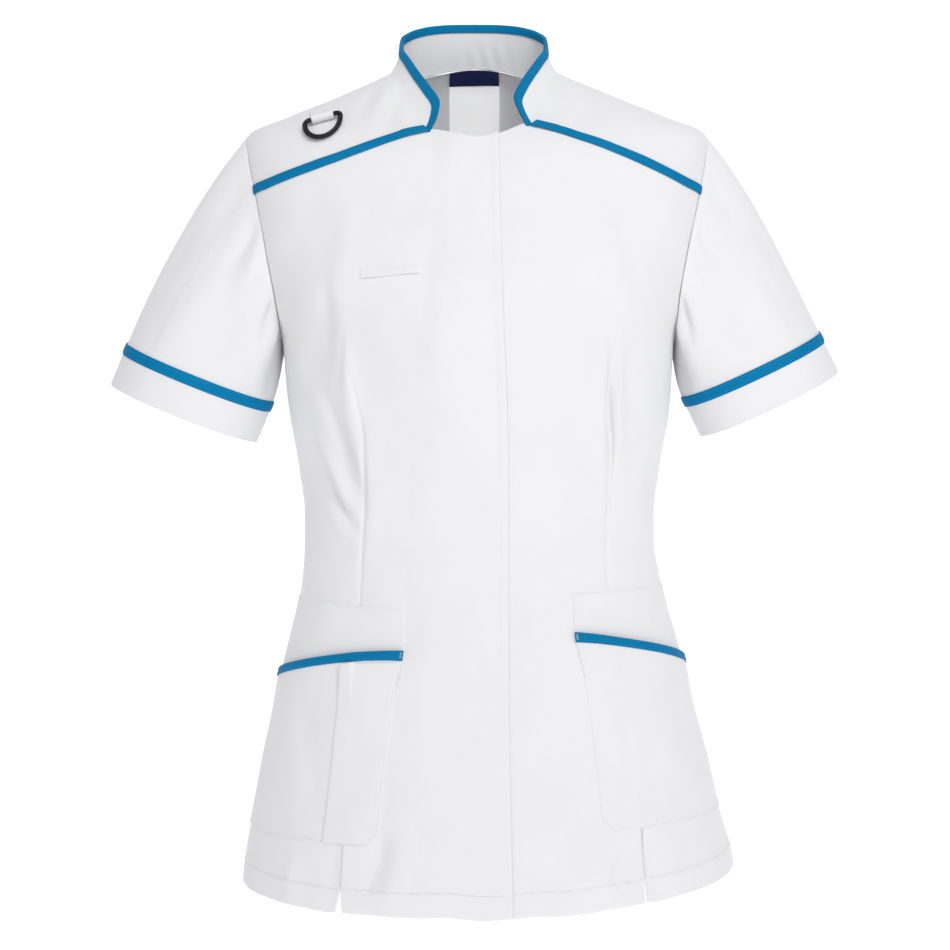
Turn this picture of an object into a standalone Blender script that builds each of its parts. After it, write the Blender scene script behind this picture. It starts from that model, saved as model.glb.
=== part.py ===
"""A short-sleeved medical tunic in its worn, hollow form.

The frame is in metres with +Z up. The front faces -Y and the wearer's right is -X. The origin is level with
the high shoulder points, on the middle of the neck from side to side and front to back.
"""

import math

import bpy
import numpy as np

# Thicknesses and clearances
WALL = 0.0012
TAPE_WALL = 0.0010
SEAM_GAP = 0.0003
LAY_GAP = 0.0004
LAP_GAP = 0.0007
BINDING_GAP = 0.0008

# Colours as linear RGB
WHITE = (0.86, 0.86, 0.88)
TURQUOISE = (0.0, 0.26, 0.52)
BLACK = (0.015, 0.015, 0.018)
NAVY = (0.006, 0.015, 0.09)

# Rings of the body form, from under the hem up to the neck
RING_COLUMNS = ("height", "half_width", "front", "back", "squareness", "lean")
RINGS = (
    (-0.740, 0.2200, 0.1420, 0.1400, 2.30, 0.0110),
    (-0.691, 0.2156, 0.1380, 0.1360, 2.30, 0.0105),
    (-0.637, 0.2036, 0.1320, 0.1320, 2.30, 0.0080),
    (-0.597, 0.1950, 0.1270, 0.1280, 2.30, 0.0070),
    (-0.557, 0.1850, 0.1220, 0.1210, 2.30, 0.0060),
    (-0.517, 0.1756, 0.1150, 0.1130, 2.30, 0.0055),
    (-0.491, 0.1690, 0.1105, 0.1075, 2.30, 0.0050),
    (-0.464, 0.1620, 0.1070, 0.1025, 2.30, 0.0045),
    (-0.437, 0.1574, 0.1050, 0.0985, 2.30, 0.0035),
    (-0.411, 0.1547, 0.1052, 0.0962, 2.30, 0.0020),
    (-0.384, 0.1547, 0.1080, 0.0962, 2.30, 0.0020),
    (-0.357, 0.1580, 0.1130, 0.0980, 2.30, 0.0020),
    (-0.331, 0.1620, 0.1190, 0.1008, 2.30, 0.0020),
    (-0.304, 0.1670, 0.1245, 0.1040, 2.30, 0.0020),
    (-0.277, 0.1700, 0.1285, 0.1070, 2.30, 0.0015),
    (-0.235, 0.1730, 0.1300, 0.1100, 2.30, 0.0010),
    (-0.197, 0.1870, 0.1270, 0.1120, 2.30, 0.0000),
    (-0.162, 0.1977, 0.1180, 0.1120, 2.30, 0.0000),
    (-0.122, 0.2053, 0.1040, 0.1095, 2.30, 0.0000),
    (-0.105, 0.2062, 0.0980, 0.1075, 2.30, 0.0000),
    (-0.080, 0.2067, 0.0880, 0.1030, 2.30, 0.0000),
    (-0.060, 0.2062, 0.0760, 0.0985, 2.30, 0.0000),
    (-0.0516, 0.2022, 0.0690, 0.0955, 2.30, 0.0000),
    (-0.0373, 0.1698, 0.0580, 0.0895, 2.30, 0.0000),
    (-0.0231, 0.1342, 0.0480, 0.0825, 2.30, 0.0000),
    (-0.0089, 0.1009, 0.0370, 0.0750, 2.30, -0.0010),
    (0.0000, 0.0810, 0.0290, 0.0700, 2.30, -0.0020),
    (0.0090, 0.0640, 0.0200, 0.0630, 2.30, -0.0020),
    (0.0180, 0.0480, 0.0120, 0.0550, 2.30, -0.0020),
    (0.0300, 0.0250, 0.0060, 0.0400, 2.30, -0.0020),
    (0.0420, 0.0080, 0.0030, 0.0150, 2.30, -0.0020),
)

# The armhole from the armpit up the front, over the shoulder and down the back
ARMHOLE_COLUMNS = ("height", "depth")
ARMHOLE_FRONT = ((-0.235, 0.0), (-0.229, -0.022), (-0.215, -0.042), (-0.197, -0.053), (-0.165, -0.0555),
                 (-0.135, -0.050), (-0.105, -0.040))
ARMHOLE_YOKE = ((-0.105, -0.040), (-0.085, -0.0305), (-0.068, -0.022), (-0.058, -0.0145), (-0.0530, -0.006))
ARMHOLE_BACK = ((-0.0530, -0.006), (-0.0520, 0.006), (-0.0560, 0.018), (-0.068, 0.029), (-0.088, 0.040),
                (-0.113, 0.049), (-0.143, 0.055), (-0.173, 0.056), (-0.200, 0.051), (-0.219, 0.039),
                (-0.231, 0.020), (-0.235, 0.0))

# The stand collar, from its front end to the centre back, for the wearer's left half
COLLAR_COLUMNS = ("base_x", "base_y", "edge_x", "edge_y", "edge_z")
COLLAR = (
    (0.0475, -0.0715, 0.0402, -0.0735, -0.0540),
    (0.0500, -0.0610, 0.0328, -0.0670, -0.0330),
    (0.0560, -0.0470, 0.0405, -0.0545, -0.0150),
    (0.0640, -0.0320, 0.0500, -0.0405, 0.0000),
    (0.0710, -0.0165, 0.0595, -0.0215, 0.0165),
    (0.0745, 0.0020, 0.0650, -0.0020, 0.0290),
    (0.0720, 0.0200, 0.0635, 0.0160, 0.0390),
    (0.0600, 0.0385, 0.0530, 0.0325, 0.0480),
    (0.0400, 0.0495, 0.0350, 0.0440, 0.0540),
    (0.0200, 0.0540, 0.0170, 0.0495, 0.0561),
    (0.0000, 0.0550, 0.0000, 0.0510, 0.0565),
)
NECK_SHIFT = -0.0030
COLLAR_STATIONS = (0.0, 0.45, 1.1, 1.9, 2.75, 3.65, 4.6)

# Lines on the fronts, seen from the front
LINE_COLUMNS = ("height", "x")
LAP_EDGE = ((-0.730, 0.0300), (-0.550, 0.0265), (-0.370, 0.0262), (-0.200, 0.0210), (-0.060, 0.0179))
UNDER_LAP = 0.036
POCKET_EDGE = {
    "right": ((-0.730, -0.0850), (-0.660, -0.0825), (-0.530, -0.0680), (-0.500, -0.0615), (-0.460, -0.0620),
              (-0.235, -0.0500)),
    "left": ((-0.730, 0.1080), (-0.650, 0.1040), (-0.515, 0.0880), (-0.485, 0.0815), (-0.450, 0.0800),
             (-0.235, 0.0560)),
}
DART = {
    "right": ((-0.730, -0.1170), (-0.665, -0.1130), (-0.560, -0.1060), (-0.462, -0.0995),
              (-0.4015, -0.0970), (-0.384, -0.0955), (-0.327, -0.0955), (-0.294, -0.1000),
              (-0.250, -0.1110), (-0.235, -0.1110)),
    "left": ((-0.730, 0.1430), (-0.650, 0.1395), (-0.550, 0.1260), (-0.449, 0.1120),
             (-0.374, 0.1135), (-0.332, 0.1145), (-0.300, 0.1120), (-0.243, 0.1090), (-0.235, 0.1080)),
}
DART_COLUMNS = ("height", "half_strip", "sink")
DART_FORM = (
    (-0.730, 0.0032, 0.0),
    (-0.700, 0.0022, 0.0),
    (-0.655, 0.0010, 0.0),
    (-0.600, 0.0010, 0.0006),
    (-0.450, 0.0010, 0.0012),
    (-0.380, 0.0010, 0.0022),
    (-0.300, 0.0010, 0.0012),
    (-0.255, 0.0012, 0.0),
    (-0.235, 0.0020, 0.0),
)
BACK_DART_COLUMNS = ("height", "x", "sink")
BACK_DART = (
    (-0.730, 0.1000, 0.0),
    (-0.560, 0.0900, 0.0),
    (-0.420, 0.0820, 0.0016),
    (-0.270, 0.0850, 0.0),
    (-0.235, 0.0850, 0.0),
)
BACK_DART_STRIP = 0.0010

# Heights at the front edge, at the vent and at the side seam, and the rows of cloth up to the next level
LEVEL_COLUMNS = ("level", "rows", "centre", "vent", "side")
LEVELS = {
    "right": (
        ("hem", 3, -0.7190, -0.7180, -0.7080),
        ("pocket_bottom", 7, -0.6640, -0.6620, -0.6575),
        ("mouth_band", 1, -0.5080, -0.5100, -0.5320),
        ("mouth", 2, -0.4970, -0.5010, -0.5220),
        ("pocket_top", 10, -0.4670, -0.4640, -0.4570),
        ("armpit", 0, -0.2350, -0.2350, -0.2350),
    ),
    "left": (
        ("hem", 3, -0.7185, -0.7100, -0.6920),
        ("pocket_bottom", 7, -0.6560, -0.6490, -0.6420),
        ("mouth_band", 1, -0.4930, -0.4990, -0.5200),
        ("mouth", 2, -0.4810, -0.4895, -0.5105),
        ("pocket_top", 10, -0.4540, -0.4520, -0.4480),
        ("armpit", 0, -0.2350, -0.2350, -0.2350),
    ),
}
BACK_HEM_DROP = 0.012

YOKE_SEAM = {
    "right": ((0.0394, -0.0562), (0.0615, -0.0612), (0.1160, -0.0805), (0.1930, -0.1050)),
    "left": ((0.0411, -0.0500), (0.0700, -0.0575), (0.1157, -0.0730), (0.1930, -0.1050)),
}
NECKLINE_COLUMNS = ("x", "height")
NECKLINE = ((-0.0394, -0.0562), (-0.0230, -0.0608), (0.0000, -0.0640), (0.0196, -0.0590), (0.0411, -0.0500))

# Counts of cloth cells
FRONT_CELLS = 3
INNER_CELLS = 3
SIDE_CELLS = 6
NECK_CELLS = 5
ARMHOLE_FRONT_CELLS = 7
YOKE_CELLS = len(COLLAR_STATIONS) - 1
ARMHOLE_BACK_CELLS = 9
COLLAR_CELLS = 3
SHOULDER_CELLS = INNER_CELLS + SIDE_CELLS
RELAX_ROUNDS = 30

# Soft folds, each along a line seen from the front
FOLD_COLUMNS = ("x1", "z1", "x2", "z2", "width", "height")
FRONT_FOLDS = (
    (-0.136, -0.330, -0.100, -0.395, 0.016, 0.0035),
    (-0.116, -0.330, -0.098, -0.385, 0.012, -0.0020),
    (-0.124, -0.368, -0.104, -0.405, 0.012, -0.0025),
    (-0.125, -0.240, -0.123, -0.275, 0.014, -0.0022),
    (0.128, -0.245, 0.122, -0.400, 0.016, 0.0028),
    (0.150, -0.330, 0.128, -0.390, 0.016, -0.0022),
    (0.168, -0.500, 0.160, -0.640, 0.024, 0.0035),
    (-0.165, -0.520, -0.158, -0.650, 0.024, 0.0030),
    (0.020, -0.600, 0.030, -0.730, 0.035, 0.0030),
    (-0.050, -0.560, -0.045, -0.730, 0.035, 0.0025),
    (0.100, -0.120, 0.130, -0.220, 0.022, 0.0022),
    (-0.100, -0.125, -0.125, -0.225, 0.022, 0.0020),
)
BACK_FOLDS = (
    (-0.060, -0.330, -0.110, -0.400, 0.020, 0.0035),
    (0.070, -0.340, 0.115, -0.395, 0.020, 0.0030),
    (-0.120, -0.500, -0.130, -0.730, 0.034, 0.0040),
    (0.118, -0.520, 0.132, -0.730, 0.034, 0.0040),
    (-0.010, -0.520, 0.000, -0.730, 0.040, -0.0025),
    (-0.100, -0.120, -0.130, -0.230, 0.024, 0.0028),
    (0.105, -0.130, 0.130, -0.225, 0.024, 0.0025),
)

# Sleeves: the outer and inner end of each cuff, and the soft folds between armhole and cuff
CUFF = {
    "right": {"outer": (-0.3240, -0.2710), "inner": (-0.1955, -0.3230)},
    "left": {"outer": (0.3195, -0.2600), "inner": (0.1985, -0.3180)},
}
CUFF_HALF_DEPTH = 0.054
CUFF_SQUARENESS = 2.2
CUFF_BOW = 0.005
SLEEVE_HEM = 0.029
SLEEVE_TAPE = 0.009
SLEEVE_ROWS = 6
UNDERARM_DROP = (0.10, 0.0, -1.0)
SLEEVE_FOLD_COLUMNS = ("around", "along", "width_around", "width_along", "height")
SLEEVE_FOLDS = (
    (0.30, 0.45, 0.05, 0.35, 0.0030),
    (0.16, 0.50, 0.04, 0.30, -0.0025),
    (0.68, 0.50, 0.05, 0.35, 0.0030),
    (0.84, 0.45, 0.04, 0.30, -0.0025),
)

# Pieces that lie on the fronts; shares of the pocket run from its bottom to its mouth
BACKING_UNDER = 0.6
POCKET_GAPE = 0.0016
POCKET_GAPE_FROM = 0.15
POCKET_CORNER = (0.744, 0.089)
POCKET_RISE = (0.62, 0.86)
TRIM_HALF = 0.0040
TRIM_END_SHARE = 0.04
BINDING_WIDTH = 0.0080
BINDING_SHARE = 0.75
POCKET_GAP = 0.0008
TAPE_GAP = 0.0006
WELT = {"inner_x": -0.0456, "outer_x": -0.1000, "top_z": -0.1702, "bottom_z": -0.1866}
PEN_COLUMNS = (0.1375, INNER_CELLS + 1.9)
PEN_BOTTOM_SHARE = 0.35
PEN_TOP_SHARE = 0.12

# The ring and its loop, which is sewn down on the right yoke in front of its shoulder seam
RING_X = -0.1327
RING_ROD = 0.0023
RING_WIDTH = 0.0365
RING_HEIGHT = 0.0268
RING_CORNER = 0.0040
RING_SIDES = 8
RING_ARC_STEPS = 14
BAR_CLEARANCE = 0.0006
FOOT_CLEARANCE = 0.0030
LOOP_WIDTH = 0.0190
LOOP_COLUMNS = 3
LOOP_CLEARANCE = 0.0004
LOOP_DROP = 0.0460
LOOP_END = 0.0290
LOOP_TURNS = range(60, 301, 24)
LOOP_LIE = (0.0, 0.15, 0.3, 0.45)

LABEL_GAP = 0.0014
LABEL_WIDTH = 0.0460
LABEL_TOP = 0.0182
LABEL_SPLIT = 0.0058
LABEL_BOTTOM = -0.0400
LABEL_X = -0.0025
LABEL_ROWS = 8
LABEL_SPARE_CELLS = 2


def track(rows, column=1):
    """Return a smooth function of the first column that passes through another column without overshoot."""
    table = np.array([(row[0], row[column]) for row in rows], float)
    if table[0, 0] > table[-1, 0]:
        table = table[::-1]
    xs, ys = table[:, 0], table[:, 1]
    steps = np.diff(xs)
    slopes = np.diff(ys) / steps
    bends = np.zeros(len(xs))
    bends[0], bends[-1] = slopes[0], slopes[-1]
    for i in range(1, len(xs) - 1):
        if slopes[i - 1] * slopes[i] > 0:
            bends[i] = 2 * slopes[i - 1] * slopes[i] / (slopes[i - 1] + slopes[i])

    def value(at):
        at = np.clip(np.asarray(at, float), xs[0], xs[-1])
        i = np.clip(np.searchsorted(xs, at, side="right") - 1, 0, len(steps) - 1)
        h = steps[i]
        t = (at - xs[i]) / h
        return (
            ys[i] * (1 + 2 * t) * (1 - t) ** 2
            + bends[i] * h * t * (1 - t) ** 2
            + ys[i + 1] * t * t * (3 - 2 * t)
            + bends[i + 1] * h * t * t * (t - 1)
        )

    return value


RING_TRACKS = [track(RINGS, column) for column in range(1, len(RING_COLUMNS))]


def ease(low, high, at):
    """Go smoothly from 0 at low to 1 at high."""
    t = np.clip((np.asarray(at, float) - low) / (high - low), 0, 1)
    return t * t * (3 - 2 * t)


def form_at(points):
    """Return 1 on the body form, less inside it and more outside it."""
    x, y, z = points[..., 0], points[..., 1], points[..., 2]
    half, front, back, power, lean = (ring(z) for ring in RING_TRACKS)
    depth = np.where(y < 0, front, back)
    return (np.abs((x - lean) / half) ** power + np.abs(y / depth) ** power) ** (1 / power)


def outward(points):
    """Return the unit normals of the body form at these points."""
    points = np.asarray(points, float)
    step = 0.0015
    normals = np.zeros_like(points)
    for axis in range(3):
        shift = np.zeros(3)
        shift[axis] = step
        normals[..., axis] = form_at(points + shift) - form_at(points - shift)
    return unit(normals)


def unit(vectors):
    """Scale vectors to length 1."""
    return vectors / np.maximum(np.linalg.norm(vectors, axis=-1, keepdims=True), 1e-12)


def form_point(turn, z):
    """Return the point of the form at an angle from the front centre and a height."""
    turn, z = np.broadcast_arrays(np.asarray(turn, float), np.asarray(z, float))
    half, front, back, power, lean = (ring(z) for ring in RING_TRACKS)
    across, forward = np.sin(turn), np.cos(turn)
    x = lean + half * np.sign(across) * np.abs(across) ** (2 / power)
    y = -np.sign(forward) * np.where(forward > 0, front, back) * np.abs(forward) ** (2 / power)
    return np.stack([x, y, z], axis=-1)


def turn_at_x(x, z, at_back=False):
    """Return the angle of the form where it is x across at this height."""
    half, _, _, power, lean = (ring(z) for ring in RING_TRACKS)
    across = (np.asarray(x, float) - lean) / half
    turn = np.sign(across) * np.arcsin(np.clip(np.abs(across), 0, 1) ** (power / 2))
    return np.sign(across) * math.pi - turn if at_back else turn


def front_point(x, z):
    """Return the point of the form's front that shows at x and z from the front."""
    return form_point(turn_at_x(x, z), z)


def side_point(side, z, y):
    """Return the point of one side of the form at this height and depth."""
    half, front, back, power, lean = (ring(z) for ring in RING_TRACKS)
    depth = np.where(np.asarray(y) < 0, front, back)
    x = lean + side * half * (1 - np.abs(y / depth) ** power) ** (1 / power)
    return np.stack(np.broadcast_arrays(x, y, z), axis=-1)


def project(points, centre=(0.0, 0.0, -0.200)):
    """Move points along lines from an inner centre until they lie on the form."""
    centre = np.array(centre)
    rays = points - centre
    low, high = np.full(points.shape[:-1], 0.4), np.full(points.shape[:-1], 1.8)
    for _ in range(40):
        middle = (low + high) / 2
        inside = form_at(centre + rays * middle[..., None]) < 1
        low, high = np.where(inside, middle, low), np.where(inside, high, middle)
    return centre + rays * ((low + high) / 2)[..., None]


def smooth_line(points, count):
    """Return count + 1 points, evenly spaced along a smooth curve through the given points."""
    points = np.array(points, float)
    along = np.concatenate([[0], np.cumsum(np.linalg.norm(np.diff(points, axis=0), axis=1))])
    fine = np.linspace(0, along[-1], 40 * len(points))
    ends = np.vstack([2 * points[0] - points[1], points, 2 * points[-1] - points[-2]])
    i = np.clip(np.searchsorted(along, fine, side="right") - 1, 0, len(points) - 2)
    t = ((fine - along[i]) / (along[i + 1] - along[i]))[:, None]
    a, b, c, d = ends[i], ends[i + 1], ends[i + 2], ends[i + 3]
    square, cube = 2 * a - 5 * b + 4 * c - d, 3 * b - a - 3 * c + d
    return spaced(0.5 * (2 * b + (c - a) * t + square * t**2 + cube * t**3), count)


def spaced(curve, count):
    """Return count + 1 points, evenly spaced along a polyline."""
    along = np.concatenate([[0], np.cumsum(np.linalg.norm(np.diff(curve, axis=0), axis=1))])
    wanted = np.linspace(0, along[-1], count + 1)
    return np.stack([np.interp(wanted, along, curve[:, axis]) for axis in range(curve.shape[1])], axis=1)


def filled(bottom, top, left, right):
    """Fill the grid between four edges, bottom row first, and lay it on the form."""
    def share(edge_a, edge_b):
        shares = []
        for edge in (edge_a, edge_b):
            along = np.concatenate([[0], np.cumsum(np.linalg.norm(np.diff(edge, axis=0), axis=1))])
            shares.append(along / along[-1])
        return (shares[0] + shares[1]) / 2

    u = share(bottom, top)[None, :, None]
    v = share(left, right)[:, None, None]
    grid = (
        (1 - v) * bottom[None]
        + v * top[None]
        + (1 - u) * left[:, None]
        + u * right[:, None]
        - (1 - u) * (1 - v) * bottom[0]
        - u * (1 - v) * bottom[-1]
        - (1 - u) * v * top[0]
        - u * v * top[-1]
    )
    grid = project(grid)
    grid[0], grid[-1], grid[:, 0], grid[:, -1] = bottom, top, left, right
    weight = 0.5 * ease(0.2, 0.8, v)[1:-1]
    for _ in range(RELAX_ROUNDS):
        around = (grid[:-2, 1:-1] + grid[2:, 1:-1] + grid[1:-1, :-2] + grid[1:-1, 2:]) / 4
        grid[1:-1, 1:-1] += (around - grid[1:-1, 1:-1]) * weight
    grid[1:-1, 1:-1] = project(grid[1:-1, 1:-1])
    return grid


def fold_height(points, folds):
    """Return how far soft folds lift the cloth at these points."""
    x, z = points[..., 0], points[..., 2]
    total = np.zeros(x.shape)
    for x1, z1, x2, z2, width, height in folds:
        line = np.array([x2 - x1, z2 - z1])
        length = np.linalg.norm(line)
        line /= length
        along = ((x - x1) * line[0] + (z - z1) * line[1]) / length
        across = (x - x1) * line[1] - (z - z1) * line[0]
        fade = ease(-0.25, 0.35, along) * (1 - ease(0.65, 1.25, along))
        total += height * fade * np.exp(-((across / width) ** 2) * 2)
    return total


def dressed(points):
    """Lift points of the form by the folds, and return them with their normals."""
    normals = outward(points)
    is_front = points[..., 1] < 0
    away = 1 - np.abs(normals[..., 0]) ** 8
    lift = np.where(is_front, fold_height(points, FRONT_FOLDS), fold_height(points, BACK_FOLDS)) * away
    side_fade = ease(0.004, 0.035, np.abs(points[..., 1]))
    return points + normals * (lift * side_fade)[..., None], normals


def pull_in(edge, inner, amount):
    """Move an edge towards the points inside it."""
    return edge + unit(inner - edge) * amount


def material(name, colour, roughness, sheen=0.0):
    """Make a plain principled material."""
    made = bpy.data.materials.new(name)
    made.use_nodes = True
    shader = made.node_tree.nodes["Principled BSDF"]
    shader.inputs["Base Color"].default_value = (*colour, 1.0)
    shader.inputs["Roughness"].default_value = roughness
    shader.inputs["Metallic"].default_value = 0.0
    shader.inputs["Sheen Weight"].default_value = sheen
    return made


def add_object(name, vertices, faces, finish, crease=50.0):
    """Make one smooth-shaded mesh object."""
    mesh = bpy.data.meshes.new(name)
    mesh.from_pydata([tuple(map(float, v)) for v in vertices], [], faces)
    mesh.materials.append(material(name, *finish))
    mesh.shade_smooth()
    mesh.set_sharp_from_angle(angle=math.radians(crease))
    made = bpy.data.objects.new(name, mesh)
    bpy.context.scene.collection.objects.link(made)
    return made


def cloth(name, outer, inner, finish, cells=None, closed=False):
    """Make a wall between an outer and an inner grid, with every open edge of the cells closed."""
    rows, columns = outer.shape[:2]
    across = columns if closed else columns - 1
    if cells is None:
        cells = np.ones((rows - 1, across), bool)
    quads = []
    for r in range(rows - 1):
        for c in range(across):
            if cells[r, c]:
                d = (c + 1) % columns
                quads.append(((r, c), (r, d), (r + 1, d), (r + 1, c)))
    corners = [outer[k] for k in quads[len(quads) // 2]]
    facing = np.cross(corners[1] - corners[0], corners[3] - corners[0])
    middle = quads[len(quads) // 2][0]
    if np.dot(facing, outer[middle] - inner[middle]) < 0:
        quads = [quad[::-1] for quad in quads]
    used = sorted({corner for quad in quads for corner in quad})
    number = {corner: i for i, corner in enumerate(used)}
    count = len(used)
    vertices = [outer[k] for k in used] + [inner[k] for k in used]
    faces = []
    edges = {}
    for quad in quads:
        ring = [number[k] for k in quad]
        faces.append(tuple(ring))
        faces.append(tuple(i + count for i in ring[::-1]))
        for a, b in zip(ring, ring[1:] + ring[:1]):
            edges[(a, b)] = edges.get((a, b), 0) + 1
    for a, b in edges:
        if (b, a) not in edges:
            faces.append((b, a, a + count, b + count))
    return add_object(name, vertices, faces, finish)


def wall(name, panel, finish, lift=0.0, thickness=WALL):
    """Make a panel, or a piece that lies on one, from the panel's points moved out."""
    lift = np.broadcast_to(np.asarray(lift, float), panel["points"].shape[:2])[..., None]
    outer = panel["points"] + panel["normals"] * lift
    inner = outer - panel["normals"] * thickness
    return cloth(name, outer, inner, finish, panel.get("cells"), panel.get("closed", False))


def patch(panel, rows, columns):
    """Take points of a panel at rows and columns that may lie between its own; both are grids."""
    rows, columns = np.broadcast_arrays(np.asarray(rows, float), np.asarray(columns, float))
    most_row, most_column = panel["points"].shape[0] - 2, panel["points"].shape[1] - 2
    r = np.clip(np.floor(rows).astype(int), 0, most_row)
    c = np.clip(np.floor(columns).astype(int), 0, most_column)
    s, t = (rows - r)[..., None], (columns - c)[..., None]
    found = {}
    for key in ("points", "normals"):
        grid = panel[key]
        found[key] = (
            grid[r, c] * (1 - s) * (1 - t)
            + grid[r + 1, c] * s * (1 - t)
            + grid[r, c + 1] * (1 - s) * t
            + grid[r + 1, c + 1] * s * t
        )
    found["normals"] = unit(found["normals"])
    return found


def place_on(panel, x, z):
    """Find the row and column of a panel at x and z, seen from the front."""
    grid = panel["points"]
    distance = (grid[..., 0] - x) ** 2 + (grid[..., 2] - z) ** 2
    row, column = (float(i) for i in np.unravel_index(np.argmin(distance), distance.shape))
    step = 0.01
    for _ in range(30):
        here, up, over = (
            patch(panel, row + a, column + b)["points"][[0, 2]] for a, b in ((0, 0), (step, 0), (0, step))
        )
        slopes = np.stack([(up - here) / step, (over - here) / step], axis=1)
        move = np.linalg.solve(slopes, np.array([x, z]) - here)
        row = float(np.clip(row + np.clip(move[0], -1, 1), 0, grid.shape[0] - 1.0001))
        column = float(np.clip(column + np.clip(move[1], -1, 1), 0, grid.shape[1] - 1.0001))
    return row, column


def with_whole_steps(low, high):
    """Return low, the whole numbers between, and high."""
    inner = [i for i in range(math.ceil(low + 0.08), math.floor(high - 0.08) + 1)]
    return np.array([low, *inner, high])


def level_rows(side):
    """Return the heights of the rows under the armpit at the front edge, the vent and the side seam."""
    rows = []
    levels = LEVELS[side]
    for (_, count, *here), (_, _, *after) in zip(levels, levels[1:]):
        for i in range(count):
            share = i / count
            rows.append([a + (b - a) * share for a, b in zip(here, after)])
    rows.append(list(levels[-1][2:]))
    return np.array(rows)


def row_of(level, side="right"):
    """Return the number of the row at a named level."""
    total = 0
    for name, count, *_ in LEVELS[side]:
        if name == level:
            return total
        total += count
    return total


def armhole(side, table, count):
    """Return evenly spaced points along a stretch of one armhole."""
    rows = np.array(table)
    curve = smooth_line(np.column_stack([rows[:, 0], rows[:, 1]]), 60)
    return spaced(side_point(side, curve[:, 0], curve[:, 1]), count)


def stretch(first, last, count):
    """Return count + 1 even steps."""
    return np.linspace(first, last, count + 1)


def yoke_seam(name, side):
    """Return the yoke seam from the armhole to the collar's base, and the seam's end at the collar's edge."""
    rows = YOKE_SEAM[name]
    top = track([(x, z) for x, z in rows])
    end = side_point(side, *ARMHOLE_YOKE[0])
    base_x = COLLAR[0][0] + (rows[0][0] - COLLAR[0][2])
    xs = np.linspace(abs(end[0]), base_x, 60)
    heights = top(xs) + (end[2] - top(abs(end[0])))
    line = spaced(front_point(side * xs, heights), SHOULDER_CELLS)
    line[0] = end
    edge_x = rows[0][0]
    return line, front_point(np.array([side * edge_x]), np.array([rows[0][1]]))[0]


def collar_lines(name, side):
    """Return the collar's base and edge at each station from the front end to the centre back."""
    turns = np.concatenate([COLLAR_STATIONS, stretch(COLLAR_STATIONS[-1], len(COLLAR) - 1, NECK_CELLS)[1:]])
    rows = [(i, *row) for i, row in enumerate(COLLAR)]
    values = [track(rows, column)(turns) for column in range(1, 6)]
    base_plan = np.stack([side * values[0] + NECK_SHIFT * ease(0, 3, turns), values[1]], axis=1)
    base = np.column_stack([base_plan, height_on_form(base_plan)])
    edge = np.column_stack([side * values[2] + NECK_SHIFT * ease(0, 3, turns), values[3], values[4]])
    seam, seam_end = yoke_seam(name, side)
    fade = (1 - ease(0, COLLAR_STATIONS[-1], turns))[:, None]
    base = base + (seam[-1] - base[0]) * fade
    base = project(base)
    base[0] = seam[-1]
    edge = edge + (seam_end - edge[0]) * fade
    return base, edge


def height_on_form(plan):
    """Return the height of the form's top at points given by x and y."""
    low, high = np.full(len(plan), -0.20), np.full(len(plan), 0.042)
    for _ in range(40):
        middle = (low + high) / 2
        inside = form_at(np.column_stack([plan, middle])) < 1
        low, high = np.where(inside, middle, low), np.where(inside, high, middle)
    return (low + high) / 2


def front_panel(name, side):
    """Lay out one front: rows from the hem to the yoke seam, columns from its front edge to the side."""
    rows = level_rows(name)
    lap = track(LAP_EDGE)
    edge_offset = 0.0 if name == "right" else -UNDER_LAP
    pocket = track(POCKET_EDGE[name])
    dart = track(DART[name])
    strip, sink = track(DART_FORM, 1), track(DART_FORM, 2)
    heights = rows[:, 0]
    front_edge = lap(heights) + edge_offset
    keys = [
        turn_at_x(front_edge, heights),
        turn_at_x(pocket(heights), heights),
        turn_at_x(dart(heights) - side * strip(heights), heights),
        turn_at_x(dart(heights) + side * strip(heights), heights),
        np.full(len(heights), side * math.pi / 2),
    ]
    turns = []
    for a, b, count in zip(keys, keys[1:], (FRONT_CELLS, INNER_CELLS, 1, SIDE_CELLS)):
        for i in range(count):
            turns.append(a + (b - a) * i / count)
    turns = np.stack([*turns, keys[-1]], axis=1)
    z = np.array([
        np.interp(turn, [turn[FRONT_CELLS] / 2, turn[-1 - SIDE_CELLS], math.pi / 2], row)
        for turn, row in zip(np.abs(turns), rows)
    ])
    lower = form_point(turns, z)
    dart_columns = [FRONT_CELLS + INNER_CELLS, FRONT_CELLS + INNER_CELLS + 1]
    top_of_lower = lower[-1]
    outer_edge = armhole(side, ARMHOLE_FRONT, ARMHOLE_FRONT_CELLS)
    seam, seam_end = yoke_seam(name, side)
    neckline = track(NECKLINE)
    neck_xs = np.linspace(lap(-0.06) + edge_offset, seam_end[0], FRONT_CELLS + 1)
    neck = front_point(neck_xs, neckline(neck_xs))
    neck[-1] = seam_end
    top = np.vstack([neck, seam[::-1]])
    top_z = np.linspace(top_of_lower[0, 2], neck[0, 2], ARMHOLE_FRONT_CELLS + 1)
    inner_edge = front_point(lap(top_z) + edge_offset, top_z)
    inner_edge[0], inner_edge[-1] = top_of_lower[0], neck[0]
    outer_edge[0] = top_of_lower[-1]
    upper = filled(top_of_lower, top, inner_edge, outer_edge)
    base = np.vstack([lower, upper[1:]])
    points, normals = dressed(base)
    for column in dart_columns:
        points[: len(rows), column] -= normals[: len(rows), column] * sink(z[:, column])[:, None]
    if name == "right":
        lift = (WALL + LAP_GAP) * np.array([1.0] * FRONT_CELLS + [0.0] * (points.shape[1] - FRONT_CELLS))
        points = points + normals * lift[None, :, None]
    cells = np.ones((points.shape[0] - 1, points.shape[1] - 1), bool)
    cells[: row_of("pocket_bottom"), dart_columns[0]] = False
    return {"points": points, "normals": normals, "cells": cells, "side": side, "name": name}


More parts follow.
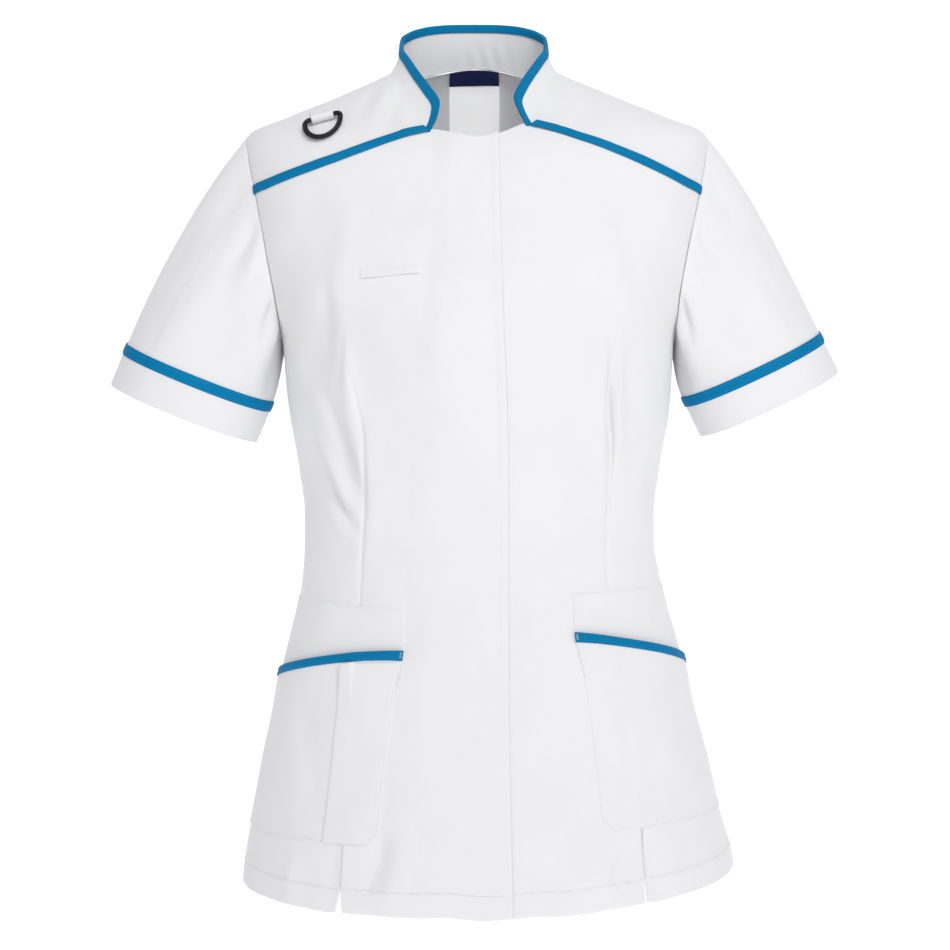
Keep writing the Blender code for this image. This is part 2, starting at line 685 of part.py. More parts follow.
def yoke_panel(name, side):
    """Lay out one yoke and its half of the collar; rows go round the neck, columns from armhole to edge."""
    seam, _ = yoke_seam(name, side)
    base, edge = collar_lines(name, side)
    over = armhole(side, ARMHOLE_YOKE, YOKE_CELLS)
    shoulder_xs = np.linspace(over[-1][0], base[YOKE_CELLS][0], 60)
    plan = np.column_stack([shoulder_xs, np.linspace(over[-1][1], base[YOKE_CELLS][1], 60)])
    shoulder = spaced(np.column_stack([plan, height_on_form(plan)]), SHOULDER_CELLS)
    shoulder[0], shoulder[-1] = over[-1], base[YOKE_CELLS]
    front = filled(seam, shoulder, over, base[: YOKE_CELLS + 1])
    rows = len(base)
    columns = SHOULDER_CELLS + COLLAR_CELLS + 1
    points = np.zeros((rows, columns, 3))
    points[: YOKE_CELLS + 1, : SHOULDER_CELLS + 1] = front
    points[YOKE_CELLS + 1:, : SHOULDER_CELLS + 1] = base[YOKE_CELLS + 1:, None]
    for i, rise in enumerate(stretch(0, 1, COLLAR_CELLS)):
        points[:, SHOULDER_CELLS + i] = base + (edge - base) * rise
    normals = outward(points)
    dressed_points, _ = dressed(points[: YOKE_CELLS + 1, : SHOULDER_CELLS + 1])
    points[: YOKE_CELLS + 1, : SHOULDER_CELLS + 1] = dressed_points
    stand = unit(edge - base)
    along = unit(np.gradient(base + edge, axis=0))
    collar_normals = unit(np.cross(stand, along))
    if np.dot(collar_normals[-1], (0, 1, 0)) < 0:
        collar_normals = -collar_normals
    crease = unit(collar_normals + outward(base))
    for i in range(COLLAR_CELLS + 1):
        normals[:, SHOULDER_CELLS + i] = crease if i == 0 else collar_normals
    cells = np.ones((rows - 1, columns - 1), bool)
    cells[YOKE_CELLS:, :SHOULDER_CELLS] = False
    return {"points": points, "normals": normals, "cells": cells, "side": side, "name": name}


def back_panel(yokes):
    """Lay out the back from the wearer's right side seam to the left one, the hem row first."""
    rows = {name: level_rows(name) for name in ("right", "left")}
    count = len(rows["right"])
    dart_x, dart_sink = track(BACK_DART, 1), track(BACK_DART, 2)
    middle_cells = SHOULDER_CELLS + NECK_CELLS - SIDE_CELLS - 1
    grid = []
    for r in range(count):
        right_z, left_z = rows["right"][r][2], rows["left"][r][2]
        level = (right_z + left_z) / 2
        x = float(dart_x(level))
        outer = abs(float(turn_at_x(x + BACK_DART_STRIP, level, True)))
        inner = abs(float(turn_at_x(x - BACK_DART_STRIP, level, True)))
        quarter = np.concatenate([
            stretch(math.pi / 2, outer, SIDE_CELLS),
            stretch(inner, math.pi, middle_cells),
        ])
        turns = np.concatenate([-quarter, quarter[-2::-1]])
        share = np.linspace(0, 1, len(turns))
        drop = BACK_HEM_DROP * (1 - ease(-0.71, -0.50, level)) * np.sin(share * math.pi) ** 1.5
        z = right_z + (left_z - right_z) * ease(0.0, 1.0, share) - drop
        grid.append(form_point(turns, z))
    lower = np.array(grid)
    top = np.vstack([
        yokes["right"]["base"][0],
        yokes["right"]["base"][1][1:],
        yokes["left"]["base"][1][::-1][1:],
        yokes["left"]["base"][0][::-1][1:],
    ])
    right_edge = armhole(-1, ARMHOLE_BACK, ARMHOLE_BACK_CELLS)[::-1]
    left_edge = armhole(1, ARMHOLE_BACK, ARMHOLE_BACK_CELLS)[::-1]
    right_edge[0], left_edge[0] = lower[-1][0], lower[-1][-1]
    right_edge[-1], left_edge[-1] = top[0], top[-1]
    upper = filled(lower[-1], top, right_edge, left_edge)
    base = np.vstack([lower, upper[1:]])
    points, normals = dressed(base)
    darts = [SIDE_CELLS, SIDE_CELLS + 1]
    darts += [points.shape[1] - 1 - c for c in darts]
    for column in darts:
        depth = dart_sink(points[:count, column, 2])
        points[:count, column] -= normals[:count, column] * depth[:, None]
    return {"points": points, "normals": normals}


def sleeve_panel(name, side, loop, loop_normals):
    """Loft one sleeve from its armhole loop to its cuff; rows go from the armhole to the cuff."""
    cuff = CUFF[name]
    outer = np.array([cuff["outer"][0], 0.0, cuff["outer"][1]])
    inner = np.array([cuff["inner"][0], 0.0, cuff["inner"][1]])
    centre, half = (outer + inner) / 2, (inner - outer) / 2
    down = unit(np.array([half[2] * side, 0.0, -half[0] * side]))
    if down[2] > 0:
        down = -down
    count = len(loop)
    closed_loop = np.vstack([loop, loop[:1]])
    along = np.concatenate([[0], np.cumsum(np.linalg.norm(np.diff(closed_loop, axis=0), axis=1))])
    top_index = ARMHOLE_FRONT_CELLS + YOKE_CELLS + 1
    share = np.where(
        np.arange(count) <= top_index,
        0.5 * along[:-1] / along[top_index],
        0.5 + 0.5 * (along[:-1] - along[top_index]) / (along[-1] - along[top_index]),
    )
    around = share * 2 * math.pi
    power = 2 / CUFF_SQUARENESS
    width = np.sign(np.cos(around)) * np.abs(np.cos(around)) ** power
    depth = -np.sign(np.sin(around)) * np.abs(np.sin(around)) ** power
    end = (
        centre
        + half * width[:, None]
        + np.array([0.0, CUFF_HALF_DEPTH, 0.0]) * depth[:, None]
        + down * (CUFF_BOW * np.abs(np.sin(around)))[:, None]
    )
    chord = end - loop
    length = np.linalg.norm(chord, axis=1)[:, None]
    start_way = unit(loop_normals * 0.25 + unit(chord) + np.array([0.0, 0.0, -0.10]))
    under = np.clip(np.cos(around), 0, 1)[:, None] ** 3
    start_way = unit(start_way * (1 - under) + np.array(UNDERARM_DROP) * (side, 1, 1) * under)
    band = np.array([0.0, SLEEVE_HEM / 2, SLEEVE_HEM, SLEEVE_HEM + SLEEVE_TAPE])
    rows = []
    for step in range(SLEEVE_ROWS + 1):
        t = step / SLEEVE_ROWS
        reach = length - band[-1]
        rows.append(
            loop * (1 + 2 * t) * (1 - t) ** 2
            + start_way * reach * t * (1 - t) ** 2
            + (end - down * band[-1]) * t * t * (3 - 2 * t)
            + down * reach * t * t * (t - 1)
        )
    for distance in band[:-1][::-1]:
        rows.append(end - down * distance)
    points = np.array(rows)
    normals = grid_normals(points)
    steps = np.linspace(0, 1, len(rows))
    lift = np.zeros(points.shape[:2])
    for at, on, wide, long, height in SLEEVE_FOLDS:
        distance = (share - at + 0.5) % 1 - 0.5
        across, down_sleeve = np.exp(-((distance / wide) ** 2)), np.exp(-2 * ((steps - on) / long) ** 2)
        lift += height * across[None] * down_sleeve[:, None]
    lift *= (ease(0.0, 0.25, steps) * (1 - ease(0.55, 0.8, steps)))[:, None]
    points = points + normals * lift[..., None]
    return {"points": points, "normals": normals, "closed": True, "side": side}


def grid_normals(points):
    """Return the normals of a closed tube of points, facing away from its middle line."""
    around = np.roll(points, -1, axis=1) - np.roll(points, 1, axis=1)
    along = np.gradient(points, axis=0)
    normals = unit(np.cross(around, along))
    middles = points.mean(axis=1, keepdims=True)
    if np.sum((points - middles) * normals) < 0:
        normals = -normals
    return normals


def join_armholes(front, yoke, back, side):
    """Return one armhole loop from the armpit round the front, with the body's normals."""
    column = -1 if side > 0 else 0
    top = len(level_rows(front["name"])) - 1
    parts = [
        (front["points"][top:, -1], front["normals"][top:, -1]),
        (yoke["points"][1: YOKE_CELLS + 1, 0], yoke["normals"][1: YOKE_CELLS + 1, 0]),
        (back["points"][top:-1, column][::-1][:-1], back["normals"][top:-1, column][::-1][:-1]),
    ]
    return np.vstack([p for p, _ in parts]), np.vstack([n for _, n in parts])


def share_normals(front, yoke, back, sleeve, side):
    """Give both sides of the armhole seam the same normals where their walls would meet inside."""
    column = -1 if side > 0 else 0
    top = len(level_rows(front["name"])) - 1
    body = np.vstack([
        front["normals"][top:, -1],
        yoke["normals"][1: YOKE_CELLS + 1, 0],
        back["normals"][top:-1, column][::-1][:-1],
    ])
    own = sleeve["normals"][0]
    close = np.sum(body * own, axis=1) > 0.2
    shared = unit(body + own)
    body = np.where(close[:, None], shared, body)
    sleeve["normals"][0] = np.where(close[:, None], shared, own)
    n_front = ARMHOLE_FRONT_CELLS + 1
    front["normals"][top:, -1] = body[:n_front]
    yoke["normals"][0, 0] = body[n_front - 1]
    yoke["normals"][1: YOKE_CELLS + 1, 0] = body[n_front: n_front + YOKE_CELLS]
    back["normals"][-1, column] = body[n_front + YOKE_CELLS - 1]
    back["normals"][top + 1:-1, column] = body[n_front + YOKE_CELLS:][::-1]


def make_seam_gaps(fronts, yokes, back):
    """Pull each piece back from its seams by half the gap."""
    half = SEAM_GAP / 2
    for name, side in (("right", -1), ("left", 1)):
        front, yoke = fronts[name]["points"], yokes[name]["points"]
        lower = len(level_rows(name))
        front[:lower, -1, 1] -= half
        first = FRONT_CELLS
        front[-1, first:] = pull_in(front[-1, first:], front[-2, first:], half)
        yoke[0] = pull_in(yoke[0], yoke[1], half)
        shoulder = slice(0, SHOULDER_CELLS)
        over = yoke[YOKE_CELLS, shoulder]
        yoke[YOKE_CELLS, shoulder] = pull_in(over, yoke[YOKE_CELLS - 1, shoulder], half)
        rows = slice(YOKE_CELLS, None)
        base, rise = SHOULDER_CELLS, SHOULDER_CELLS + 1
        yoke[rows, base] = pull_in(yoke[rows, base], yoke[rows, rise], half)
        yoke[-1, base:, 0] += side * half
    lower = len(level_rows("right"))
    back["points"][:lower, 0, 1] += half
    back["points"][:lower, -1, 1] += half
    back["points"][-1] = pull_in(back["points"][-1], back["points"][-2], half)


def neck_normals(back, yokes):
    """Share normals between the back's neck edge and the collar's base."""
    for name, side in (("right", -1), ("left", 1)):
        shared = yokes[name]["normals"][YOKE_CELLS:, SHOULDER_CELLS]
        last = back["points"].shape[1] - 1
        for i in range(NECK_CELLS + 1):
            column = SHOULDER_CELLS + i if side < 0 else last - SHOULDER_CELLS - i
            back["normals"][-1, column] = shared[i]


def sweep(name, sections, finish, closed=False):
    """Join a row of equal section loops into one closed body."""
    sections = np.array(sections)
    count, size = sections.shape[:2]
    vertices = sections.reshape(-1, 3)
    faces = []
    for i in range(count if closed else count - 1):
        here, after = i * size, ((i + 1) % count) * size
        for j in range(size):
            k = (j + 1) % size
            faces.append((here + j, here + k, after + k, after + j))
    if not closed:
        faces.append(tuple(range(size))[::-1])
        faces.append(tuple((count - 1) * size + j for j in range(size)))
    made = add_object(name, vertices, faces, finish)
    volume = 0.0
    for face in faces:
        first = vertices[face[0]]
        for a, b in zip(face[1:], face[2:]):
            volume += np.dot(first, np.cross(vertices[a], vertices[b]))
    if volume < 0:
        made.data.flip_normals()
    return made


def collar_binding(yokes):
    """Fold one tape over the whole edge of the collar, from its right front end to its left one."""
    stations = []
    for name, order in (("right", 1), ("left", -1)):
        yoke = yokes[name]
        edge = yoke["points"][:, -1]
        height = np.linalg.norm(edge - yoke["points"][:, SHOULDER_CELLS], axis=1)[:, None]
        width = np.minimum(BINDING_WIDTH, height * BINDING_SHARE)
        below = yoke["points"][:, -2]
        normals = yoke["normals"][:, -1]
        rise = unit(edge - below)
        share = (TRIM_HALF + BINDING_GAP + TAPE_WALL) / np.linalg.norm(edge[1] - edge[0])
        lines = (edge, rise, normals, width)
        rows = [tuple(line[0] + (line[1] - line[0]) * share for line in lines)]
        rows += [tuple(line[i] for line in lines) for i in range(1, len(edge) - 1)]
        if order > 0:
            middle = edge[-1] * (0, 1, 1) + (NECK_SHIFT, 0, 0)
            rows.append((middle, rise[-1] * (0, 1, 1), np.array((0.0, 1.0, 0.1)), width[-1]))
        stations += rows[::order]
    sections = []
    gap = BINDING_GAP
    out = gap + TAPE_WALL
    for edge, rise, normal, width in stations:
        normal = unit(np.array(normal))
        low = -float(width[0])
        steps = (
            (out, low),
            (out, gap),
            (gap * 0.5, out),
            (-WALL - gap * 0.5, out),
            (-WALL - out, gap),
            (-WALL - out, low),
            (-WALL - gap, low),
            (-WALL - gap, gap),
            (gap, gap),
            (gap, low),
        )
        sections.append([edge + normal * a + rise * b for a, b in steps])
    sweep("collar_binding", sections, (TURQUOISE, 0.75, 0.1))


def yoke_trim(front, yoke, name):
    """Lay a straight tape along the yoke seam, from the armhole to the neck."""
    seam = yoke["points"][0]
    up = unit(yoke["points"][1] - seam)
    normals = yoke["normals"][0].copy()
    front_row = front["points"][-1][FRONT_CELLS:][::-1]
    front_below = front["points"][-2][FRONT_CELLS:][::-1]
    below = unit(front_below - front_row)
    picked = [*range(SHOULDER_CELLS + 1), SHOULDER_CELLS + COLLAR_CELLS]
    seam, up, normals = seam[picked], up[picked], normals[picked]
    normals[-2] = unit(normals[-3] + normals[-1])
    lift = np.full(len(picked), LAY_GAP + TAPE_WALL)
    lift[-2:] += LAP_GAP
    points = np.stack([front_row + below * TRIM_HALF, (front_row + seam) / 2, seam + up * TRIM_HALF])
    points[:, 0] += (points[:, 1] - points[:, 0]) * TRIM_END_SHARE
    panel = {"points": points, "normals": np.stack([normals] * 3)}
    wall("yoke_trim_" + name, panel, (TURQUOISE, 0.75, 0.1), lift[None], TAPE_WALL)


def hip_pocket_pieces(front):
    """Lay the pocket's backing, the pocket and its mouth trim on one front."""
    name = front["name"]
    first, last = FRONT_CELLS, front["points"].shape[1] - 1
    columns = np.arange(first, last + 1)
    bottom, band = row_of("pocket_bottom"), row_of("mouth_band")
    mouth, top = row_of("mouth"), row_of("pocket_top")
    backing_rows = np.array([band - BACKING_UNDER, band, mouth, (mouth + top) / 2, top])
    backing = patch(front, backing_rows[:, None], columns[None])
    thin = TAPE_WALL
    wall("pocket_backing_" + name, backing, (WHITE, 0.8, 0.2), LAY_GAP + thin, thin)
    bottom_rows = np.full(len(columns), float(bottom))
    bottom_rows[:2] += POCKET_CORNER
    steps = stretch(0, 1, band - bottom)
    rows = bottom_rows[None] + (band - bottom_rows)[None] * steps[:, None]
    rows = np.vstack([rows, np.full(len(columns), float(mouth))])
    pocket = patch(front, rows, columns[None])
    low = POCKET_GAP + WALL
    high = LAY_GAP + POCKET_GAP + thin + WALL
    across = np.sin(np.linspace(0.0, math.pi, len(columns))) ** 0.8
    depth = (rows - bottom) / (mouth - bottom)
    lift = low + (high - low) * ease(*POCKET_RISE, depth)
    lift += POCKET_GAPE * across[None] * ease(POCKET_GAPE_FROM, 1.0, depth)
    wall("hip_pocket_" + name, pocket, (WHITE, 0.8, 0.2), lift)
    trim = patch(front, np.array([[band], [mouth]]), columns[None])
    trim_lift = lift[-2:] + LAY_GAP + TAPE_WALL
    wall("pocket_trim_" + name, trim, (TURQUOISE, 0.75, 0.1), trim_lift, TAPE_WALL)
    return pocket, lift


def pen_pocket(pocket, lift):
    """Lay the narrow pocket on the inner part of the right hip pocket, under the trim."""
    rows = np.arange(pocket["points"].shape[0] - 1)
    columns = with_whole_steps(*PEN_COLUMNS)
    panel = patch(pocket, rows[:, None], columns[None])
    lifts = {key: np.dstack([lift] * 3) for key in ("points", "normals")}
    raised = patch(lifts, rows[:, None], columns[None])["points"][..., 0]
    points = panel["points"]
    points[0] += (points[1] - points[0]) * PEN_BOTTOM_SHARE
    points[-1] += (points[-2] - points[-1]) * PEN_TOP_SHARE
    wall("pen_pocket", panel, (WHITE, 0.8, 0.2), raised + LAY_GAP + TAPE_WALL, TAPE_WALL)


def chest_welt(front):
    """Lay the chest pocket's welt on the right front."""
    row_low, column_in = place_on(front, WELT["inner_x"], WELT["bottom_z"])
    row_high, _ = place_on(front, WELT["inner_x"], WELT["top_z"])
    _, column_out = place_on(front, WELT["outer_x"], WELT["bottom_z"])
    rows, columns = with_whole_steps(row_low, row_high), with_whole_steps(column_in, column_out)
    panel = patch(front, rows[:, None], columns[None])
    wall("chest_welt", panel, (WHITE, 0.8, 0.2), LAY_GAP + TAPE_WALL, TAPE_WALL)


def ground_at(plan):
    """Return the point of the form under x and y, with the form's normal there."""
    ground = np.array([*plan, height_on_form(np.array([plan]))[0]])
    return ground, outward(ground)


def ring_path():
    """Return the ring's middle line as across and down from the middle of its bar."""
    half = RING_WIDTH / 2 - RING_ROD
    arch = RING_HEIGHT - 2 * RING_ROD - RING_CORNER
    path = [(-half + RING_CORNER, 0.0), (half - RING_CORNER, 0.0)]
    for degrees in (60, 30, 0):
        angle = math.radians(degrees)
        across = half - RING_CORNER + RING_CORNER * math.cos(angle)
        path.append((across, RING_CORNER - RING_CORNER * math.sin(angle)))
    for i in range(1, RING_ARC_STEPS):
        angle = math.pi * i / RING_ARC_STEPS
        path.append((half * math.cos(angle), RING_CORNER + arch * math.sin(angle)))
    for degrees in (180, 210, 240):
        angle = math.radians(degrees)
        across = -half + RING_CORNER + RING_CORNER * math.cos(angle)
        path.append((across, RING_CORNER + RING_CORNER * math.sin(angle)))
    return np.array(path)


def d_ring():
    """Lay the ring on the right yoke and return the middle, line and normal of its bar."""
    bar_plan = np.array([RING_X, ARMHOLE_YOKE[-1][1] - LOOP_DROP])
    ground, normal = ground_at(bar_plan)
    ends = [ground_at(bar_plan + (step, 0.0))[0] for step in (-0.01, 0.01)]
    axis = unit(ends[1] - ends[0])
    bar = ground + normal * (2 * LAY_GAP + WALL + RING_ROD + BAR_CLEARANCE)
    down = unit(np.cross(axis, normal))
    if down[2] > 0:
        down = -down
    foot_ground, foot_normal = ground_at((bar + down * RING_HEIGHT)[:2])
    down = unit(foot_ground + foot_normal * (RING_ROD + LAY_GAP + FOOT_CLEARANCE) - bar)
    face = unit(np.cross(down, axis))
    path = ring_path()
    ahead = unit(np.roll(path, -1, axis=0) - np.roll(path, 1, axis=0))
    sections = []
    for (a, b), (da, db) in zip(path, ahead):
        side_way = axis * db - down * da
        turns = np.arange(RING_SIDES)[:, None] * 2 * math.pi / RING_SIDES
        rod = (side_way * np.cos(turns) + face * np.sin(turns)) * RING_ROD
        sections.append(axis * a + down * b + rod)
    made = sweep("d_ring", sections, (BLACK, 0.35), closed=True)
    made.location = tuple(bar)
    return bar, axis, normal


def lie_of_loop(bar, axis, back_way, rise_way, reach, across):
    """Return where the loop's middle lies on the yoke: how far behind the ring's bar and how high above it."""
    spots = bar + back_way * reach[:, None, None] + axis * across[None, :, None]
    low, high = np.full(spots.shape[:2], -RING_WIDTH), np.full(spots.shape[:2], RING_WIDTH)
    for _ in range(30):
        middle = (low + high) / 2
        inside = form_at(spots + rise_way * middle[..., None]) < 1
        low, high = np.where(inside, middle, low), np.where(inside, high, middle)
    behind = np.repeat(reach[:, None], across.size, axis=1)
    return np.stack([behind, high + LAY_GAP + WALL + LAY_GAP / 2], axis=-1)


def ring_loop(bar, axis, normal):
    """Fold one strip of cloth round the ring's bar and lay both its ends on the yoke behind it."""
    ground, _ = ground_at(np.array([RING_X, ARMHOLE_YOKE[-1][1] - LOOP_END]))
    back_way = ground - bar
    back_way = unit(back_way - axis * np.dot(back_way, axis))
    rise_way = unit(np.cross(axis, back_way))
    if np.dot(rise_way, normal) < 0:
        rise_way = -rise_way
    reach = np.dot(ground - bar, back_way) * (1 - np.array(LOOP_LIE))
    across = np.linspace(-LOOP_WIDTH / 2, LOOP_WIDTH / 2, LOOP_COLUMNS)
    lie = lie_of_loop(bar, axis, back_way, rise_way, reach, across)
    tilt = unit(np.gradient(lie, axis=0))
    lie_normal = np.stack([tilt[..., 1], -tilt[..., 0]], axis=-1)
    inner, outer = RING_ROD + LOOP_CLEARANCE, RING_ROD + LOOP_CLEARANCE + WALL
    near, far = LAY_GAP / 2, LAY_GAP / 2 + WALL
    turns = np.radians(LOOP_TURNS)
    round_bar = np.stack([np.cos(turns), np.sin(turns)], axis=-1)[:, None].repeat(across.size, axis=1)
    grids = {}
    for layer, size, end in (("outer", outer, far), ("inner", inner, near)):
        line = np.concatenate([lie + lie_normal * end, round_bar * size, (lie - lie_normal * end)[::-1]])
        grids[layer] = bar + line[..., :1] * back_way + line[..., 1:] * rise_way + axis * across[None, :, None]
    cloth("ring_loop", grids["outer"], grids["inner"], (WHITE, 0.8, 0.2))


def labels(back):
    """Hang the two parts of the neck label inside the back, under the neck seam."""
    left, right = LABEL_X - LABEL_WIDTH / 2, LABEL_X + LABEL_WIDTH / 2
    middle = (back["points"].shape[1] - 1) // 2
    spread = NECK_CELLS + LABEL_SPARE_CELLS
    keep = slice(middle - spread, middle + spread + 1)
    upper = {key: back[key][-LABEL_ROWS:, keep] for key in ("points", "normals")}
    for name, top, bottom, finish in (
        ("label_band", LABEL_TOP, LABEL_SPLIT + SEAM_GAP, (NAVY, 0.6, 0.1)),
        ("label_care", LABEL_SPLIT, LABEL_BOTTOM, (WHITE, 0.5, 0.0)),
    ):
        row_low, column_low = place_on(upper, left, bottom)
        row_high, _ = place_on(upper, LABEL_X, top)
        _, column_high = place_on(upper, right, bottom)
        rows, columns = with_whole_steps(row_low, row_high), with_whole_steps(column_low, column_high)
        panel = patch(upper, rows[:, None], columns[None])
        wall(name, panel, finish, -(WALL + LABEL_GAP), TAPE_WALL)


def build():
    """Make every piece of the tunic."""
    for old in list(bpy.data.objects):
        bpy.data.objects.remove(old, do_unlink=True)
    white = (WHITE, 0.8, 0.2)
    sides = (("right", -1), ("left", 1))
    fronts = {name: front_panel(name, side) for name, side in sides}
    yokes = {name: yoke_panel(name, side) for name, side in sides}
    for name, _ in sides:
        yoke = yokes[name]
        shoulder = yoke["points"][YOKE_CELLS, : SHOULDER_CELLS + 1].copy()
        neck = yoke["points"][YOKE_CELLS:, SHOULDER_CELLS].copy()
        yoke["base"] = (shoulder, neck)
    back = back_panel(yokes)
    sleeves = {}
    for name, side in sides:
        loop, normals = join_armholes(fronts[name], yokes[name], back, side)
        sleeves[name] = sleeve_panel(name, side, loop, normals)
        share_normals(fronts[name], yokes[name], back, sleeves[name], side)
    neck_normals(back, yokes)
    make_seam_gaps(fronts, yokes, back)
    for name, side in sides:
        sleeve = sleeves[name]["points"]
        sleeve[0] = pull_in(sleeve[0], sleeve[1], SEAM_GAP)
        wall("front_" + name, fronts[name], white)
        wall("yoke_collar_" + name, yokes[name], white)
        wall("sleeve_" + name, sleeves[name], white)
        tape = {key: sleeves[name][key][SLEEVE_ROWS: SLEEVE_ROWS + 2] for key in ("points", "normals")}
        tape["closed"] = True
        wall("sleeve_tape_" + name, tape, (TURQUOISE, 0.75, 0.1), TAPE_GAP + TAPE_WALL, TAPE_WALL)
        yoke_trim(fronts[name], yokes[name], name)
        pocket, lift = hip_pocket_pieces(fronts[name])
        if name == "right":
            pen_pocket(pocket, lift)
    wall("back", back, white)
    collar_binding(yokes)
    chest_welt(fronts["right"])
    ring_loop(*d_ring())
    labels(back)


build()
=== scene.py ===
import math

import bpy
import numpy as np
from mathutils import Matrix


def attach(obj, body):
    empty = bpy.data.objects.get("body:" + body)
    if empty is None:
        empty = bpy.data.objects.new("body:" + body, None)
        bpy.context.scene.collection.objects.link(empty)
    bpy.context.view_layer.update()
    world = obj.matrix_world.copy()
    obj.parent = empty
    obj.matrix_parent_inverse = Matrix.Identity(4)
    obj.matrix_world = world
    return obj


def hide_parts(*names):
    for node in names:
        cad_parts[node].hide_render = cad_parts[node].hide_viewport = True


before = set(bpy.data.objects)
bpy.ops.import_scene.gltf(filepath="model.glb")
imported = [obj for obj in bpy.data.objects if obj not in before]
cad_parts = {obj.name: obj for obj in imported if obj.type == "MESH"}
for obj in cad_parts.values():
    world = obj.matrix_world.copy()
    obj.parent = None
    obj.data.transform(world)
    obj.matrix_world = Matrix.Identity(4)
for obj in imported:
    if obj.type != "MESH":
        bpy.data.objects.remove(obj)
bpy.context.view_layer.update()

# The two fronts. Each is one panel of crisp white poly-cotton twill, shaped by a long waist dart that
# opens into a hem vent under the pocket. The wearer's right front laps over the left one and covers its
# press studs. The raw edges are turned in and stitched down.

SIDES = (("right", -1), ("left", 1))
CLOTH = 0.0011
LAP_RISE = 0.0019
SQUARENESS = 2.3
FORM_CENTRE = np.array((0.0, 0.0, -0.2))
NORMAL_STEP = 0.0015

# Rings of the worn body form, from under the hem up to the neck:
# height, half width, depth in front, depth behind, lean to the wearer's left
BODY_RINGS = (
    (-0.74, 0.22, 0.142, 0.14, 0.011),
    (-0.691, 0.2156, 0.138, 0.136, 0.0105),
    (-0.637, 0.2036, 0.132, 0.132, 0.008),
    (-0.597, 0.195, 0.127, 0.128, 0.007),
    (-0.557, 0.185, 0.122, 0.121, 0.006),
    (-0.517, 0.1756, 0.115, 0.113, 0.0055),
    (-0.491, 0.169, 0.1105, 0.1075, 0.005),
    (-0.464, 0.162, 0.107, 0.1025, 0.0045),
    (-0.437, 0.1574, 0.105, 0.0985, 0.0035),
    (-0.411, 0.1547, 0.1052, 0.0962, 0.002),
    (-0.384, 0.1547, 0.108, 0.0962, 0.002),
    (-0.357, 0.158, 0.113, 0.098, 0.002),
    (-0.331, 0.162, 0.119, 0.1008, 0.002),
    (-0.304, 0.167, 0.1245, 0.104, 0.002),
    (-0.277, 0.17, 0.1285, 0.107, 0.0015),
    (-0.235, 0.173, 0.13, 0.11, 0.001),
    (-0.197, 0.187, 0.127, 0.112, 0.0),
    (-0.162, 0.1977, 0.118, 0.112, 0.0),
    (-0.122, 0.2053, 0.104, 0.1095, 0.0),
    (-0.105, 0.2062, 0.098, 0.1075, 0.0),
    (-0.08, 0.2067, 0.088, 0.103, 0.0),
    (-0.06, 0.2062, 0.076, 0.0985, 0.0),
    (-0.0516, 0.2022, 0.069, 0.0955, 0.0),
    (-0.0373, 0.1698, 0.058, 0.0895, 0.0),
    (-0.0231, 0.1342, 0.048, 0.0825, 0.0),
    (-0.0089, 0.1009, 0.037, 0.075, -0.001),
    (0.0, 0.081, 0.029, 0.07, -0.002),
    (0.009, 0.064, 0.02, 0.063, -0.002),
    (0.018, 0.048, 0.012, 0.055, -0.002),
    (0.03, 0.025, 0.006, 0.04, -0.002),
    (0.042, 0.008, 0.003, 0.015, -0.002),
)

# Armhole from the armpit up the front, over the yoke and down the back: height, depth
ARMHOLE_FRONT = ((-0.235, 0.0), (-0.229, -0.022), (-0.215, -0.042), (-0.197, -0.053), (-0.165, -0.0555),
                 (-0.135, -0.05), (-0.105, -0.04))
ARMHOLE_YOKE = ((-0.105, -0.04), (-0.085, -0.0305), (-0.068, -0.022), (-0.058, -0.0145), (-0.053, -0.006))
ARMHOLE_BACK = ((-0.053, -0.006), (-0.052, 0.006), (-0.056, 0.018), (-0.068, 0.029), (-0.088, 0.04),
                (-0.113, 0.049), (-0.143, 0.055), (-0.173, 0.056), (-0.2, 0.051), (-0.219, 0.039),
                (-0.231, 0.02), (-0.235, 0.0))

# Cut lines on the fronts, seen from the front: height, x
LAP_EDGE = ((-0.73, 0.03), (-0.55, 0.0265), (-0.37, 0.0262), (-0.2, 0.021), (-0.06, 0.0179))
UNDER_LAP = 0.036
POCKET_EDGE = {
    "right": ((-0.73, -0.085), (-0.66, -0.0825), (-0.53, -0.068), (-0.5, -0.0615), (-0.46, -0.062),
              (-0.235, -0.05)),
    "left": ((-0.73, 0.108), (-0.65, 0.104), (-0.515, 0.088), (-0.485, 0.0815), (-0.45, 0.08),
             (-0.235, 0.056)),
}
DART_LINE = {
    "right": ((-0.73, -0.117), (-0.665, -0.113), (-0.56, -0.106), (-0.462, -0.0995),
              (-0.4015, -0.097), (-0.384, -0.0955), (-0.327, -0.0955), (-0.294, -0.1),
              (-0.25, -0.111), (-0.235, -0.111)),
    "left": ((-0.73, 0.143), (-0.65, 0.1395), (-0.55, 0.126), (-0.449, 0.112),
             (-0.374, 0.1135), (-0.332, 0.1145), (-0.3, 0.112), (-0.243, 0.109), (-0.235, 0.108)),
}
# Half width of the dart or vent, by height
DART_HALF = {
    "right": ((-0.73, 0.004), (-0.718, 0.003), (-0.702, 0.0006), (-0.69, 0.0004),
              (-0.3, 0.0006), (-0.235, 0.0012)),
    "left": ((-0.73, 0.0016), (-0.716, 0.0012), (-0.7, 0.0006), (-0.68, 0.0004),
             (-0.3, 0.0006), (-0.235, 0.0012)),
}
